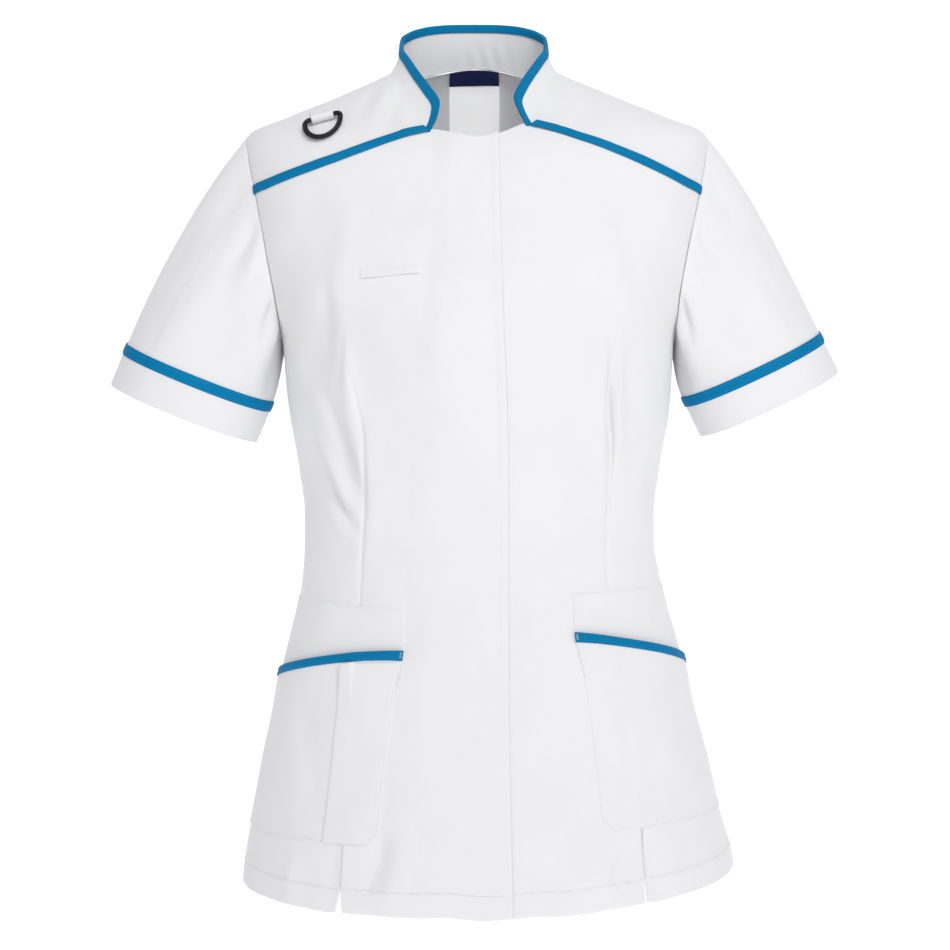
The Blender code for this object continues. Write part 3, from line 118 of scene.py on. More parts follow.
# Heights at the front edge, the vent and the side seam, with the cloth cells up to the next level
LEVELS = {
    "right": (
        ("hem", 3, -0.719, -0.718, -0.708),
        ("pocket_bottom", 7, -0.664, -0.662, -0.6575),
        ("mouth_band", 1, -0.508, -0.51, -0.532),
        ("mouth", 2, -0.497, -0.501, -0.522),
        ("pocket_top", 10, -0.467, -0.464, -0.457),
        ("armpit", 0, -0.235, -0.235, -0.235),
    ),
    "left": (
        ("hem", 3, -0.7185, -0.71, -0.692),
        ("pocket_bottom", 7, -0.656, -0.649, -0.642),
        ("mouth_band", 1, -0.493, -0.499, -0.52),
        ("mouth", 2, -0.481, -0.4895, -0.5105),
        ("pocket_top", 10, -0.454, -0.452, -0.448),
        ("armpit", 0, -0.235, -0.235, -0.235),
    ),
}
YOKE_SEAM = {
    "right": ((0.0394, -0.0562), (0.0615, -0.0612), (0.116, -0.0805), (0.193, -0.105)),
    "left": ((0.0411, -0.05), (0.07, -0.0575), (0.1157, -0.073), (0.193, -0.105)),
}
NECKLINE = ((-0.0394, -0.0562), (-0.023, -0.0608), (0.0, -0.064), (0.0196, -0.059), (0.0411, -0.05))
COLLAR_FRONT_X = (0.0475, 0.0402)

# Cells of the cut, as the solids have them, and how many fine cells each one gets
FRONT_CELLS, INNER_CELLS, SIDE_CELLS = 3, 3, 6
SHOULDER_CELLS = INNER_CELLS + SIDE_CELLS
ARMHOLE_FRONT_CELLS, YOKE_CELLS, ARMHOLE_BACK_CELLS = 7, 6, 9
FINE = 6

# Folds seen from the front: start x, z; end x, z; bend to the side; width; height, negative for a trough
FRONT_FOLDS = (
    (-0.137, -0.318, -0.101, -0.392, 0.003, 0.0056, 0.0062),
    (-0.1276, -0.29, -0.0975, -0.382, -0.002, 0.0064, -0.0062),
    (-0.133, -0.332, -0.103, -0.398, 0.003, 0.0042, -0.0058),
    (-0.129, -0.372, -0.106, -0.408, 0.002, 0.0055, 0.0026),
    (-0.1085, -0.25, -0.0985, -0.376, 0.001, 0.008, 0.0042),
    (-0.145, -0.36, -0.116, -0.412, 0.003, 0.008, 0.002),
    (-0.148, -0.29, -0.133, -0.352, 0.0, 0.012, -0.003),
    (-0.127, -0.19, -0.124, -0.262, 0.002, 0.008, -0.0036),
    (-0.12, -0.228, -0.117, -0.3, 0.0, 0.0075, 0.0022),
    (-0.138, -0.215, -0.14, -0.285, 0.002, 0.01, -0.0022),
    (-0.109, -0.238, -0.106, -0.3, 0.0, 0.0055, 0.0022),
    (-0.112, -0.15, -0.118, -0.22, 0.0, 0.012, 0.0016),
    (-0.09, -0.3, -0.088, -0.42, 0.002, 0.012, 0.0018),
    (0.1205, -0.24, 0.1195, -0.345, 0.001, 0.005, 0.004),
    (0.1065, -0.25, 0.107, -0.35, 0.001, 0.005, 0.0034),
    (0.114, -0.258, 0.1135, -0.345, 0.001, 0.003, -0.0064),
    (0.148, -0.318, 0.129, -0.352, 0.003, 0.008, -0.0026),
    (0.154, -0.345, 0.132, -0.378, 0.003, 0.009, 0.0024),
    (0.122, -0.36, 0.118, -0.42, 0.0, 0.01, -0.0016),
    (0.042, -0.468, 0.095, -0.43, 0.004, 0.007, -0.0016),
    (0.044, -0.48, 0.1, -0.442, 0.004, 0.009, 0.0014),
    (-0.078, -0.655, -0.096, -0.7, -0.004, 0.0085, -0.0034),
    (-0.064, -0.65, -0.079, -0.715, -0.003, 0.011, 0.0026),
    (-0.052, -0.64, -0.035, -0.69, 0.003, 0.011, -0.0018),
    (0.133, -0.66, 0.116, -0.695, 0.004, 0.008, -0.003),
    (0.118, -0.65, 0.102, -0.7, 0.004, 0.011, 0.0024),
    (-0.156, -0.54, -0.154, -0.64, 0.0, 0.011, 0.0026),
    (-0.141, -0.56, -0.14, -0.64, 0.0, 0.009, -0.0022),
    (-0.17, -0.54, -0.176, -0.69, 0.0, 0.011, -0.0018),
    (0.16, -0.52, 0.164, -0.6, 0.0, 0.01, 0.0028),
    (0.174, -0.52, 0.18, -0.6, 0.0, 0.009, -0.0024),
    (0.15, -0.56, 0.152, -0.65, 0.0, 0.01, -0.0018),
    (0.02, -0.6, 0.03, -0.73, 0.0, 0.024, 0.0022),
    (-0.164, -0.535, -0.169, -0.625, 0.002, 0.006, 0.0022),
    (-0.149, -0.545, -0.15, -0.6, 0.0, 0.005, -0.002),
    (-0.118, -0.665, -0.123, -0.722, 0.001, 0.0055, -0.0024),
    (-0.154, -0.672, -0.162, -0.725, 0.001, 0.007, 0.0022),
    (0.14, -0.655, 0.15, -0.715, -0.002, 0.006, -0.0024),
    (0.153, -0.555, 0.161, -0.64, 0.001, 0.006, 0.002),
    (0.126, -0.56, 0.129, -0.64, 0.001, 0.007, -0.0016),
    (-0.05, -0.56, -0.045, -0.73, 0.0, 0.024, 0.0018),
    (0.07, -0.56, 0.078, -0.73, 0.0, 0.02, -0.0016),
    (0.1, -0.11, 0.132, -0.215, 0.006, 0.015, 0.002),
    (0.125, -0.13, 0.148, -0.22, 0.006, 0.011, -0.0018),
    (-0.105, -0.11, -0.135, -0.215, -0.006, 0.015, 0.0018),
    (-0.03, -0.12, -0.025, -0.33, 0.004, 0.03, 0.0012),
    (-0.086, -0.012, -0.104, -0.05, 0.002, 0.005, -0.0014),
    (-0.074, -0.008, -0.09, -0.054, 0.002, 0.006, 0.0014),
    (-0.064, -0.012, -0.076, -0.058, 0.001, 0.005, -0.0012),
    (0.076, -0.01, 0.093, -0.052, -0.002, 0.006, -0.0013),
    (0.065, -0.01, 0.079, -0.056, -0.002, 0.006, 0.0012),
    (0.062, -0.14, 0.06, -0.34, -0.004, 0.03, 0.0012),
)
BACK_FOLDS = (
    (-0.06, -0.325, -0.108, -0.392, -0.004, 0.012, 0.004),
    (-0.045, -0.352, -0.1, -0.412, -0.003, 0.009, -0.003),
    (-0.03, -0.38, -0.08, -0.425, -0.003, 0.011, 0.0024),
    (0.07, -0.33, 0.118, -0.388, 0.004, 0.011, 0.0036),
    (0.056, -0.362, 0.106, -0.408, 0.003, 0.009, -0.0028),
    (-0.12, -0.48, -0.132, -0.73, 0.0, 0.021, 0.0046),
    (-0.096, -0.52, -0.1, -0.73, 0.0, 0.016, -0.0024),
    (0.118, -0.5, 0.133, -0.73, 0.0, 0.022, 0.0044),
    (0.09, -0.54, 0.098, -0.73, 0.0, 0.016, -0.002),
    (-0.01, -0.52, 0.0, -0.73, 0.0, 0.028, -0.0026),
    (0.045, -0.58, 0.05, -0.73, 0.0, 0.02, 0.0018),
    (-0.098, -0.11, -0.134, -0.225, -0.008, 0.013, 0.003),
    (-0.124, -0.13, -0.146, -0.22, -0.006, 0.01, -0.0022),
    (0.1, -0.115, 0.132, -0.225, 0.008, 0.013, 0.0028),
    (0.127, -0.13, 0.148, -0.22, 0.006, 0.01, -0.002),
    (-0.03, -0.06, -0.07, -0.11, -0.004, 0.014, 0.0014),
    (0.036, -0.06, 0.072, -0.105, 0.004, 0.014, 0.0014),
)
SEAM_FADE = (0.004, 0.035)
# Slow waves of the whole cloth: across, up, phase, height
CLOTH_WAVES = ((0.11, 0.21, 0.4, 0.0006), (0.067, 0.14, 2.1, 0.0004), (0.15, 0.09, 4.0, 0.0005),
               (0.041, 0.115, 1.2, 0.00028), (0.029, 0.072, 3.3, 0.00014), (0.083, 0.047, 5.1, 0.00018))


def bent(before, after):
    """Return the slope between two slopes that keeps a curve from overshooting."""
    agree = before * after > 0
    return np.where(agree, 2 * before * after / np.where(agree, before + after, 1), 0)


def curve_between(a, b, leave, arrive, t):
    """Return the place at t on the smooth curve from a to b that leaves and arrives in these ways."""
    before, after = a * (1 + 2 * t) + leave * t, b * (3 - 2 * t) + arrive * (t - 1)
    return before * (1 - t) ** 2 + after * t * t


def track(rows, column=1):
    """Return a smooth function of the first column that passes through another column."""
    xs, ys = np.array(sorted((row[0], row[column]) for row in rows), float).T
    gaps = np.diff(xs)
    slopes = np.diff(ys) / gaps
    bends = np.concatenate([slopes[:1], bent(slopes[:-1], slopes[1:]), slopes[-1:]])

    def value(at):
        at = np.clip(np.asarray(at, float), xs[0], xs[-1])
        i = np.clip(np.searchsorted(xs, at, side="right") - 1, 0, len(gaps) - 1)
        h = gaps[i]
        return curve_between(ys[i], ys[i + 1], bends[i] * h, bends[i + 1] * h, (at - xs[i]) / h)

    return value


RING_TRACKS = [track(BODY_RINGS, column) for column in range(1, 5)]


def ease(low, high, at):
    """Go smoothly from 0 at low to 1 at high."""
    t = np.clip((np.asarray(at, float) - low) / (high - low), 0, 1)
    return t * t * (3 - 2 * t)


def near(distance, width):
    """Return 1 on a line, falling softly to 0 away from it."""
    return np.exp(-((distance / width) ** 2))


def unit(vectors):
    """Scale vectors to length 1."""
    return vectors / np.maximum(np.linalg.norm(vectors, axis=-1, keepdims=True), 1e-12)


def lengths(line):
    """Return how far along a line each of its points is."""
    return np.concatenate([[0], np.cumsum(np.linalg.norm(np.diff(line, axis=0), axis=1))])


def placed(places, stops, values):
    """Return the values at places between the stops where they are known, column by column."""
    return np.stack([np.interp(places, stops, column) for column in values.T], axis=-1)


def halved(low, high, inside):
    """Close in on the place between low and high where a form ends."""
    for _ in range(40):
        middle = (low + high) / 2
        kept = inside(middle)
        low, high = np.where(kept, middle, low), np.where(kept, high, middle)
    return (low + high) / 2


def form_at(points):
    """Return 1 on the body form, less inside it and more outside it."""
    x, y, z = np.moveaxis(points, -1, 0)
    half, front, back, lean = (ring(z) for ring in RING_TRACKS)
    depth = np.where(y < 0, front, back)
    return (np.abs((x - lean) / half) ** SQUARENESS + np.abs(y / depth) ** SQUARENESS) ** (1 / SQUARENESS)


def outward(points):
    """Return the unit normals of the body form at these points."""
    slopes = [form_at(points + shift) - form_at(points - shift) for shift in np.eye(3) * NORMAL_STEP]
    return unit(np.stack(slopes, axis=-1))


def form_point(turn, z):
    """Return the point of the form at an angle from the front centre and a height."""
    turn, z = np.broadcast_arrays(np.asarray(turn, float), np.asarray(z, float))
    half, front, back, lean = (ring(z) for ring in RING_TRACKS)
    across, forward = (np.sign(part) * np.abs(part) ** (2 / SQUARENESS)
                       for part in (np.sin(turn), np.cos(turn)))
    return np.stack([lean + half * across, -np.where(forward > 0, front, back) * forward, z], axis=-1)


def turn_at_x(x, z, at_back=False):
    """Return the angle of the form where it is x across at this height."""
    half, _, _, lean = (ring(z) for ring in RING_TRACKS)
    across = (np.asarray(x, float) - lean) / half
    turn = np.sign(across) * np.arcsin(np.clip(np.abs(across), 0, 1) ** (SQUARENESS / 2))
    return np.sign(across) * math.pi - turn if at_back else turn


def front_point(x, z):
    """Return the point of the form's front that shows at x and z from the front."""
    return form_point(turn_at_x(x, z), z)


def side_point(side, z, y):
    """Return the point of one side of the form at this height and depth."""
    half, front, back, lean = (ring(z) for ring in RING_TRACKS)
    depth = np.where(np.asarray(y) < 0, front, back)
    x = lean + side * half * (1 - np.abs(y / depth) ** SQUARENESS) ** (1 / SQUARENESS)
    return np.stack(np.broadcast_arrays(x, y, z), axis=-1)


def onto_form(points):
    """Move points along lines from an inner centre until they lie on the form."""
    rays, even = points - FORM_CENTRE, np.ones(points.shape[:-1])
    reach = halved(0.4 * even, 1.8 * even, lambda at: form_at(FORM_CENTRE + rays * at[..., None]) < 1)
    return FORM_CENTRE + rays * reach[..., None]


def spaced(curve, count):
    """Return count + 1 points, evenly spaced along a polyline."""
    along = lengths(curve)
    return placed(np.linspace(0, along[-1], count + 1), along, curve)


def smooth_line(points, count):
    """Return count + 1 points, evenly spaced along a smooth curve through the given points."""
    points = np.array(points, float)
    along = lengths(points)
    fine = np.linspace(0, along[-1], 40 * len(points))
    ends = np.vstack([2 * points[0] - points[1], points, 2 * points[-1] - points[-2]])
    i = np.clip(np.searchsorted(along, fine, side="right") - 1, 0, len(points) - 2)
    a, b, c, d = (ends[i + k] for k in range(4))
    t = ((fine - along[i]) / (along[i + 1] - along[i]))[:, None]
    return spaced(curve_between(b, c, (c - a) / 2, (d - b) / 2, t), count)


def armhole(side, table, count):
    """Return evenly spaced points along a stretch of one armhole."""
    curve = smooth_line(table, 60)
    return spaced(side_point(side, curve[:, 0], curve[:, 1]), count)


def filled(bottom, top, left, right):
    """Fill the grid between four edges, bottom row first, and lay it on the form."""
    u, v = (sum(lengths(edge) / lengths(edge)[-1] for edge in pair) / 2
            for pair in ((bottom, top), (left, right)))
    u, v = u[None, :, None], v[:, None, None]
    grid = (1 - v) * bottom[None] + v * top[None] + (1 - u) * left[:, None] + u * right[:, None]
    grid = grid - (1 - v) * ((1 - u) * bottom[0] + u * bottom[-1]) - v * ((1 - u) * top[0] + u * top[-1])
    grid = onto_form(grid)
    grid[0], grid[-1], grid[:, 0], grid[:, -1] = bottom, top, left, right
    weight = 0.5 * ease(0.2, 0.8, v)[1:-1]
    for _ in range(30):
        around = (grid[:-2, 1:-1] + grid[2:, 1:-1] + grid[1:-1, :-2] + grid[1:-1, 2:]) / 4
        grid[1:-1, 1:-1] += (around - grid[1:-1, 1:-1]) * weight
    grid[1:-1, 1:-1] = onto_form(grid[1:-1, 1:-1])
    return grid


def refined(grid, even=False, closed=False):
    """Pass a smooth surface through a grid, with FINE cells for each of its own."""
    for axis in (0, 1):
        rows = np.swapaxes(grid, 0, axis)
        wraps = closed and axis == 1
        if wraps:
            rows = np.concatenate([rows[-2:], rows, rows[:3]])
        jumps = np.diff(rows, axis=0)
        between = (jumps[:-1] + jumps[1:]) / 2 if even else bent(jumps[:-1], jumps[1:])
        bends = np.concatenate([jumps[:1], between, jumps[-1:]])
        pieces = [curve_between(rows[:-1], rows[1:], bends[:-1], bends[1:], k / FINE) for k in range(FINE)]
        made = np.stack(pieces, axis=1).reshape(-1, *rows.shape[1:])
        made = made[2 * FINE: -2 * FINE] if wraps else np.concatenate([made, rows[-1:]])
        grid = np.swapaxes(made, 0, axis)
    return grid


def facing(points, closed=False):
    """Return the unit normals of a fine grid, pointing away from the wearer."""
    if closed:
        across = np.roll(points, -1, axis=1) - np.roll(points, 1, axis=1)
        inside = points.mean(axis=1, keepdims=True)
    else:
        across = np.gradient(points, axis=1)
        inside = np.array([0.0, 0.0, 1.0]) * points + np.array([0.0, 0.004, 0.0])
    normals = unit(np.cross(across, np.gradient(points, axis=0)))
    return normals if np.sum((points - inside) * normals) > 0 else -normals


def fold_lift(points, folds):
    """Return how far soft folds and slow waves lift the cloth at these points."""
    x, z = points[..., 0], points[..., 2]
    total = np.zeros(x.shape)
    for x1, z1, x2, z2, bend, width, height in folds:
        line = np.array([x2 - x1, z2 - z1])
        length = np.linalg.norm(line)
        line /= length
        along = ((x - x1) * line[0] + (z - z1) * line[1]) / length
        across = (x - x1) * line[1] - (z - z1) * line[0] - bend * 4 * along * (1 - along)
        fade = ease(-0.2, 0.35, along) * (1 - ease(0.6, 1.2, along))
        total += height * fade * near(across, width * (0.75 + 0.5 * np.clip(along, 0, 1)))
    for wide, tall, phase, height in CLOTH_WAVES:
        swell = height * np.sin(x * 2 * math.pi / wide + phase)
        total += swell * np.sin(z * 2 * math.pi / tall + 1.7 * phase)
    return total


def fold_rise(points, normals):
    """Return how far the folds lift cloth on the form; they fade out at the side seams and shoulders."""
    lift = np.where(points[..., 1] < 0, fold_lift(points, FRONT_FOLDS), fold_lift(points, BACK_FOLDS))
    return lift * (1 - np.abs(normals[..., 0]) ** 8) * ease(*SEAM_FADE, np.abs(points[..., 1]))


def dressed(points):
    """Lift points of the form by the folds of the cloth."""
    normals = outward(points)
    return points + normals * fold_rise(points, normals)[..., None]


def rows_of(side_name):
    """Return the heights of the rows under the armpit at the front edge, the vent and the side seam."""
    rows, levels = [], LEVELS[side_name]
    for (_, count, *here), (_, _, *after) in zip(levels, levels[1:]):
        rows += [[a + (b - a) * i / count for a, b in zip(here, after)] for i in range(count)]
    return np.array([*rows, levels[-1][2:]])


def row_of(level):
    """Return the number of the row at a named level."""
    names, counts = zip(*(row[:2] for row in LEVELS["right"]))
    return sum(counts[: names.index(level)])


def yoke_seam(side_name, side):
    """Return the yoke seam from the armhole to the collar's base, and its end at the collar's edge."""
    rows = YOKE_SEAM[side_name]
    height = track(rows)
    end = side_point(side, *ARMHOLE_YOKE[0])
    base_x = COLLAR_FRONT_X[0] + rows[0][0] - COLLAR_FRONT_X[1]
    xs = np.linspace(abs(end[0]), base_x, 60)
    line = spaced(front_point(side * xs, height(xs) + end[2] - height(abs(end[0]))), SHOULDER_CELLS)
    line[0] = end
    return line, front_point(np.array([side * rows[0][0]]), np.array([rows[0][1]]))[0]


def front_form(side_name, side):
    """Lay out one front: rows from the hem to the yoke seam, columns from its front edge to the side."""
    rows = rows_of(side_name)
    heights = rows[:, 0]
    lap, pocket, dart = track(LAP_EDGE), track(POCKET_EDGE[side_name]), track(DART_LINE[side_name])
    half = track(DART_HALF[side_name])(heights)
    offset = 0.0 if side_name == "right" else -UNDER_LAP
    lines = (lap(heights) + offset, pocket(heights), dart(heights) - side * half, dart(heights) + side * half)
    keys = [*(turn_at_x(line, heights) for line in lines), np.full(len(heights), side * math.pi / 2)]
    turns = []
    for a, b, count in zip(keys, keys[1:], (FRONT_CELLS, INNER_CELLS, 1, SIDE_CELLS)):
        turns += [a + (b - a) * i / count for i in range(count)]
    turns = np.stack([*turns, keys[-1]], axis=1)
    z = np.array([
        np.interp(turn, [turn[FRONT_CELLS] / 2, turn[-1 - SIDE_CELLS], math.pi / 2], row)
        for turn, row in zip(np.abs(turns), rows)
    ])
    lower = form_point(turns, z)
    outer_edge = armhole(side, ARMHOLE_FRONT, ARMHOLE_FRONT_CELLS)
    seam, seam_end = yoke_seam(side_name, side)
    neck_xs = np.linspace(lap(-0.06) + offset, seam_end[0], FRONT_CELLS + 1)
    neck = front_point(neck_xs, track(NECKLINE)(neck_xs))
    neck[-1] = seam_end
    top_z = np.linspace(lower[-1][0, 2], neck[0, 2], ARMHOLE_FRONT_CELLS + 1)
    inner_edge = front_point(lap(top_z) + offset, top_z)
    inner_edge[0], inner_edge[-1] = lower[-1][0], neck[0]
    outer_edge[0] = lower[-1][-1]
    upper = filled(lower[-1], np.vstack([neck, seam[::-1]]), inner_edge, outer_edge)
    fine = dressed(onto_form(refined(np.vstack([lower, upper[1:]]))))
    return {"points": fine, "normals": facing(fine)}


def on_cloth(panel, rows, columns):
    """Return points and normals of a panel at rows and columns counted in its own cells."""
    rows, columns = np.broadcast_arrays(np.asarray(rows, float) * FINE, np.asarray(columns, float) * FINE)
    tall, wide = panel["points"].shape[:2]
    r = np.clip(np.floor(rows).astype(int), 0, tall - 2)
    c = np.floor(columns).astype(int)
    if not panel.get("closed"):
        c = np.clip(c, 0, wide - 2)
    s, t = (rows - r)[..., None], (columns - c)[..., None]
    c, d = c % wide, (c + 1) % wide
    points, normals = (
        (grid[r, c] * (1 - s) + grid[r + 1, c] * s) * (1 - t) +
        (grid[r, d] * (1 - s) + grid[r + 1, d] * s) * t
        for grid in (panel["points"], panel["normals"])
    )
    return points, unit(normals)


def measured(points):
    """Return how far each point of a grid is, in metres, from the first column and from the first row."""
    across, up = (np.cumsum(np.linalg.norm(np.diff(points, axis=axis), axis=2), axis=axis) for axis in (1, 0))
    return np.pad(across, ((0, 0), (1, 0))), np.pad(up, ((1, 0), (0, 0)))


def set_out(name, data):
    """Put a mesh, a light or the camera into the scene under its name."""
    made = bpy.data.objects.new(name, data)
    bpy.context.scene.collection.objects.link(made)
    return made


def smooth_mesh(name, vertices, faces, finish):
    """Make one smooth piece of these corners and faces, in one finish."""
    mesh = bpy.data.meshes.new(name)
    mesh.from_pydata(np.asarray(vertices).tolist(), [], np.asarray(faces).tolist())
    mesh.materials.append(finish)
    mesh.shade_smooth()
    return set_out(name, mesh)


def made_up(name, outer, inner, finish, keep=None, closed=False, uv=None, rim=0.35):
    """Make one cloth wall from its outer and inner grids, with rounded edges and a map in metres."""
    rows, columns = outer.shape[:2]
    r, c = np.meshgrid(np.arange(rows - 1), np.arange(columns if closed else columns - 1), indexing="ij")
    keep = slice(None) if keep is None else keep
    r, c = r[keep].ravel(), c[keep].ravel()
    d = (c + 1) % columns
    quads = np.stack([r * columns + c, r * columns + d, (r + 1) * columns + d, (r + 1) * columns + c], axis=1)
    uv = np.stack(measured(outer), axis=-1) if uv is None else uv
    wide = np.linalg.norm(outer[0, 0] - outer[0, -1]) + uv[0, -1, 0]
    outer, inner, uv = outer.reshape(-1, 3), inner.reshape(-1, 3), uv.reshape(-1, 2)
    corners = outer[quads]
    turn = np.cross(corners[:, 1] - corners[:, 0], corners[:, 3] - corners[:, 0])
    if np.sum(turn * (outer - inner)[quads[:, 0]]) < 0:
        quads = quads[:, ::-1]
    count = rows * columns
    edges = {(a, b): quad for quad in quads.tolist() for a, b in zip(quad, quad[1:] + quad[:1])}
    rims = [(a, b, quad) for (a, b), quad in edges.items() if (b, a) not in edges]
    push = {}
    for a, b, quad in rims:
        way = unit((outer[a] + outer[b]) / 2 - outer[quad].mean(axis=0))
        for k in (a, b):
            push[k] = push.get(k, 0) + way
    thickness = np.linalg.norm(outer - inner, axis=1)
    middle = {k: count * 2 + i for i, k in enumerate(push)}
    middles = [(outer[k] + inner[k]) / 2 + unit(way) * thickness[k] * rim for k, way in push.items()]
    rim_faces = [face for a, b, _ in rims for face in
                 ((b, a, middle[a], middle[b]), (middle[b], middle[a], a + count, b + count))]
    faces = np.vstack([quads, quads[:, ::-1] + count, rim_faces])
    keys = np.vstack([quads, quads[:, ::-1], [(b, a, a, b) for a, b, _ in rims for _ in range(2)]])
    used, number = np.unique(faces, return_inverse=True)
    made = smooth_mesh(name, np.vstack([outer, inner, middles])[used], number.reshape(faces.shape), finish)
    spots = uv[keys]
    if closed:
        wraps = np.ptp(spots[..., 0], axis=1) > wide / 2
        spots[wraps, :, 0] += np.where(spots[wraps, :, 0] < wide / 2, wide, 0)
    made.data.uv_layers.new(name="cloth").data.foreach_set("uv", spots.reshape(-1))
    return made


def steps(*stops):
    """Return rows or columns from a list of (start, step) stops, with the last number as the end."""
    found = []
    for (start, step), after in zip(stops, stops[1:]):
        end = after[0] if isinstance(after, tuple) else after
        count = max(1, round((end - start) / step))
        found.append(start + (end - start) * np.arange(count) / count)
    return np.concatenate([*found, [stops[-1]]])


def eased(points, times):
    """Even out the lines that run across a grid, where its cells change their slope."""
    points = points.copy()
    for _ in range(times):
        points[:, 1:-1] = (points[:, :-2] + points[:, 2:] + 2 * points[:, 1:-1]) / 4
    return points


def turned_edge(distance, width, rise=0.00035, roll=0.0006):
    """Return the lift of an edge that is turned in and stitched down at a width from its fold."""
    double = rise * (1 - ease(width, width + 0.0015, distance))
    fold = -roll * (1 - ease(0.0, 0.0012, distance)) ** 2
    return double + fold - 0.0003 * near(distance - width, 0.0009)


def seam_edge(distance):
    """Return the lift of an edge that rolls into a seam."""
    return turned_edge(distance, 0.0, 0.0, 0.0008)


def add_node(tree, kind, **amounts):
    """Add one shader node and set its sockets, whose names have _ for a blank here."""
    node = tree.nodes.new("ShaderNode" + kind)
    for socket, amount in amounts.items():
        node.inputs[socket.replace("_", " ")].default_value = amount
    return node


def new_finish(name, **amounts):
    """Start a finish, set the even amounts of its shader, and return it with its nodes."""
    made = bpy.data.materials.new(name)
    made.use_nodes = True
    shader = made.node_tree.nodes["Principled BSDF"]
    for socket, amount in amounts.items():
        shader.inputs[socket.replace("_", " ")].default_value = amount
    return made, made.node_tree, shader


def tone_ramp(tree, low, high, places=(0.0, 1.0)):
    """Add a ramp from one colour to another."""
    ramp = add_node(tree, "ValToRGB")
    for stop, place, colour in zip(ramp.color_ramp.elements, places, (low, high)):
        stop.position, stop.color = place, (*colour, 1)
    return ramp


def join(tree, *links):
    """Link nodes: from which one, its socket, to which one, its socket."""
    for source, out, target, into in links:
        tree.links.new(source.outputs[out], target.inputs[into])


def fabric(name, colour, roughness, weave, twill=True, dirt=0.012, sheen=0.18, depth=0.00005, shine=0.25):
    """Make a woven cloth: fine diagonal or ribbed weave, tiny yarn noise and a soft change of tone."""
    made, tree, shader = new_finish(
        name, Roughness=roughness, Sheen_Weight=sheen, Sheen_Roughness=0.45, Specular_IOR_Level=shine)
    spot = add_node(tree, "UVMap")
    spot.uv_map = "cloth"
    yarns = add_node(tree, "TexWave", Scale=0.314 / weave, Distortion=0.6, Detail=1.0, Detail_Scale=1.5)
    yarns.bands_direction = "DIAGONAL" if twill else "X"
    slub = add_node(tree, "TexNoise", Scale=1400.0, Detail=2.0)
    tone = add_node(tree, "TexNoise", Scale=16.0, Detail=4.0)
    ramp = tone_ramp(tree, [c * (1 - dirt) for c in colour], [c * (1 + dirt) for c in colour], (0.3, 0.7))
    thread_tone = add_node(tree, "Mix")
    thread_tone.data_type = "RGBA"
    thread_tone.blend_type = "MULTIPLY"
    thread_tone.inputs[0].default_value = 0.06 if twill else 0.22
    height = add_node(tree, "Math")
    height.operation = "MULTIPLY_ADD"
    height.inputs[1].default_value = 0.5
    bump = add_node(tree, "Bump", Strength=0.45, Distance=depth)
    join(tree, *((spot, "UV", node, "Vector") for node in (yarns, slub, tone)),
         (tone, "Fac", ramp, "Fac"), (ramp, "Color", thread_tone, 6), (yarns, "Color", thread_tone, 7),
         (thread_tone, 2, shader, "Base Color"), (slub, "Fac", height, 0), (yarns, "Fac", height, 2),
         (height, 0, bump, "Height"), (bump, "Normal", shader, "Normal"))
    return made


twill = fabric("white_twill", (0.84, 0.84, 0.86), 0.78, 0.0009)


def cloth_piece(name, solid, points, normals, lift, thick, shape=None,
                finish=twill, slot="white_twill", **cut):
    """Make one cloth piece over its points, in a solid's place."""
    lift, thick = (np.broadcast_to(amount, points.shape[:2])[..., None] for amount in (lift, thick))
    outer = points + normals * lift
    piece = made_up(name, outer, outer - normals * thick, finish, **(shape or {}))
    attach(piece, "garment")
    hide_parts(solid)


forms = {name: front_form(name, side) for name, side in SIDES}
ARMPIT, VENT_TOP = row_of("armpit"), row_of("pocket_bottom")
FRONT_ROWS = ARMPIT + ARMHOLE_FRONT_CELLS
DART_COLUMN = FRONT_CELLS + INNER_CELLS
FRONT_COLUMNS = DART_COLUMN + 1 + SIDE_CELLS
FRONT_AREA = {"right": 0.163, "left": 0.157}
HEM = 0.020
FRONT_FOLD = 0.006
DART_SINK = ((-0.73, 0.0), (-0.64, 0.0004), (-0.45, 0.001), (-0.4, 0.0024), (-0.35, 0.003),
             (-0.3, 0.0014), (-0.245, 0.0), (-0.235, 0.0))
DART_SHIFT, DART_WIDTH = 0.0006, 0.0016
VENT_ROLL = 0.0007
HEM_RIPPLE = 0.00022
STUD_MARKS = ((-0.263, 0.0068), (-0.375, 0.007), (-0.487, 0.0075))
STUD_RADIUS, STUD_RISE = 0.0046, 0.00022
row_places = steps((0, 0.02), (0.08, 0.09), (1.0, 0.03), (1.3, 0.15), (VENT_TOP, 0.14),
                   (row_of("pocket_top"), 0.14), (FRONT_ROWS - 0.12, 0.03), FRONT_ROWS)
column_places = steps((0, 0.02), (0.1, 0.1), (FRONT_CELLS, 0.2), (DART_COLUMN - 0.24, 0.06),
                      (DART_COLUMN, 0.25), (DART_COLUMN + 1, 0.05), (DART_COLUMN + 1.2, 0.14),
                      (FRONT_COLUMNS - 0.1, 0.03), FRONT_COLUMNS)
row_mid, column_mid = ((places[1:] + places[:-1]) / 2 for places in (row_places, column_places))
keep = ~((row_mid[:, None] < VENT_TOP) & (np.abs(column_mid - DART_COLUMN - 0.5) < 0.5))
under_arm = 1 - ease(ARMPIT - 1.0, ARMPIT, row_places)[:, None]
vent = 1 - ease(VENT_TOP - 0.1, VENT_TOP + 0.1, row_places)[:, None]
vent_edge = np.abs(column_places - DART_COLUMN - 0.5) - 0.5
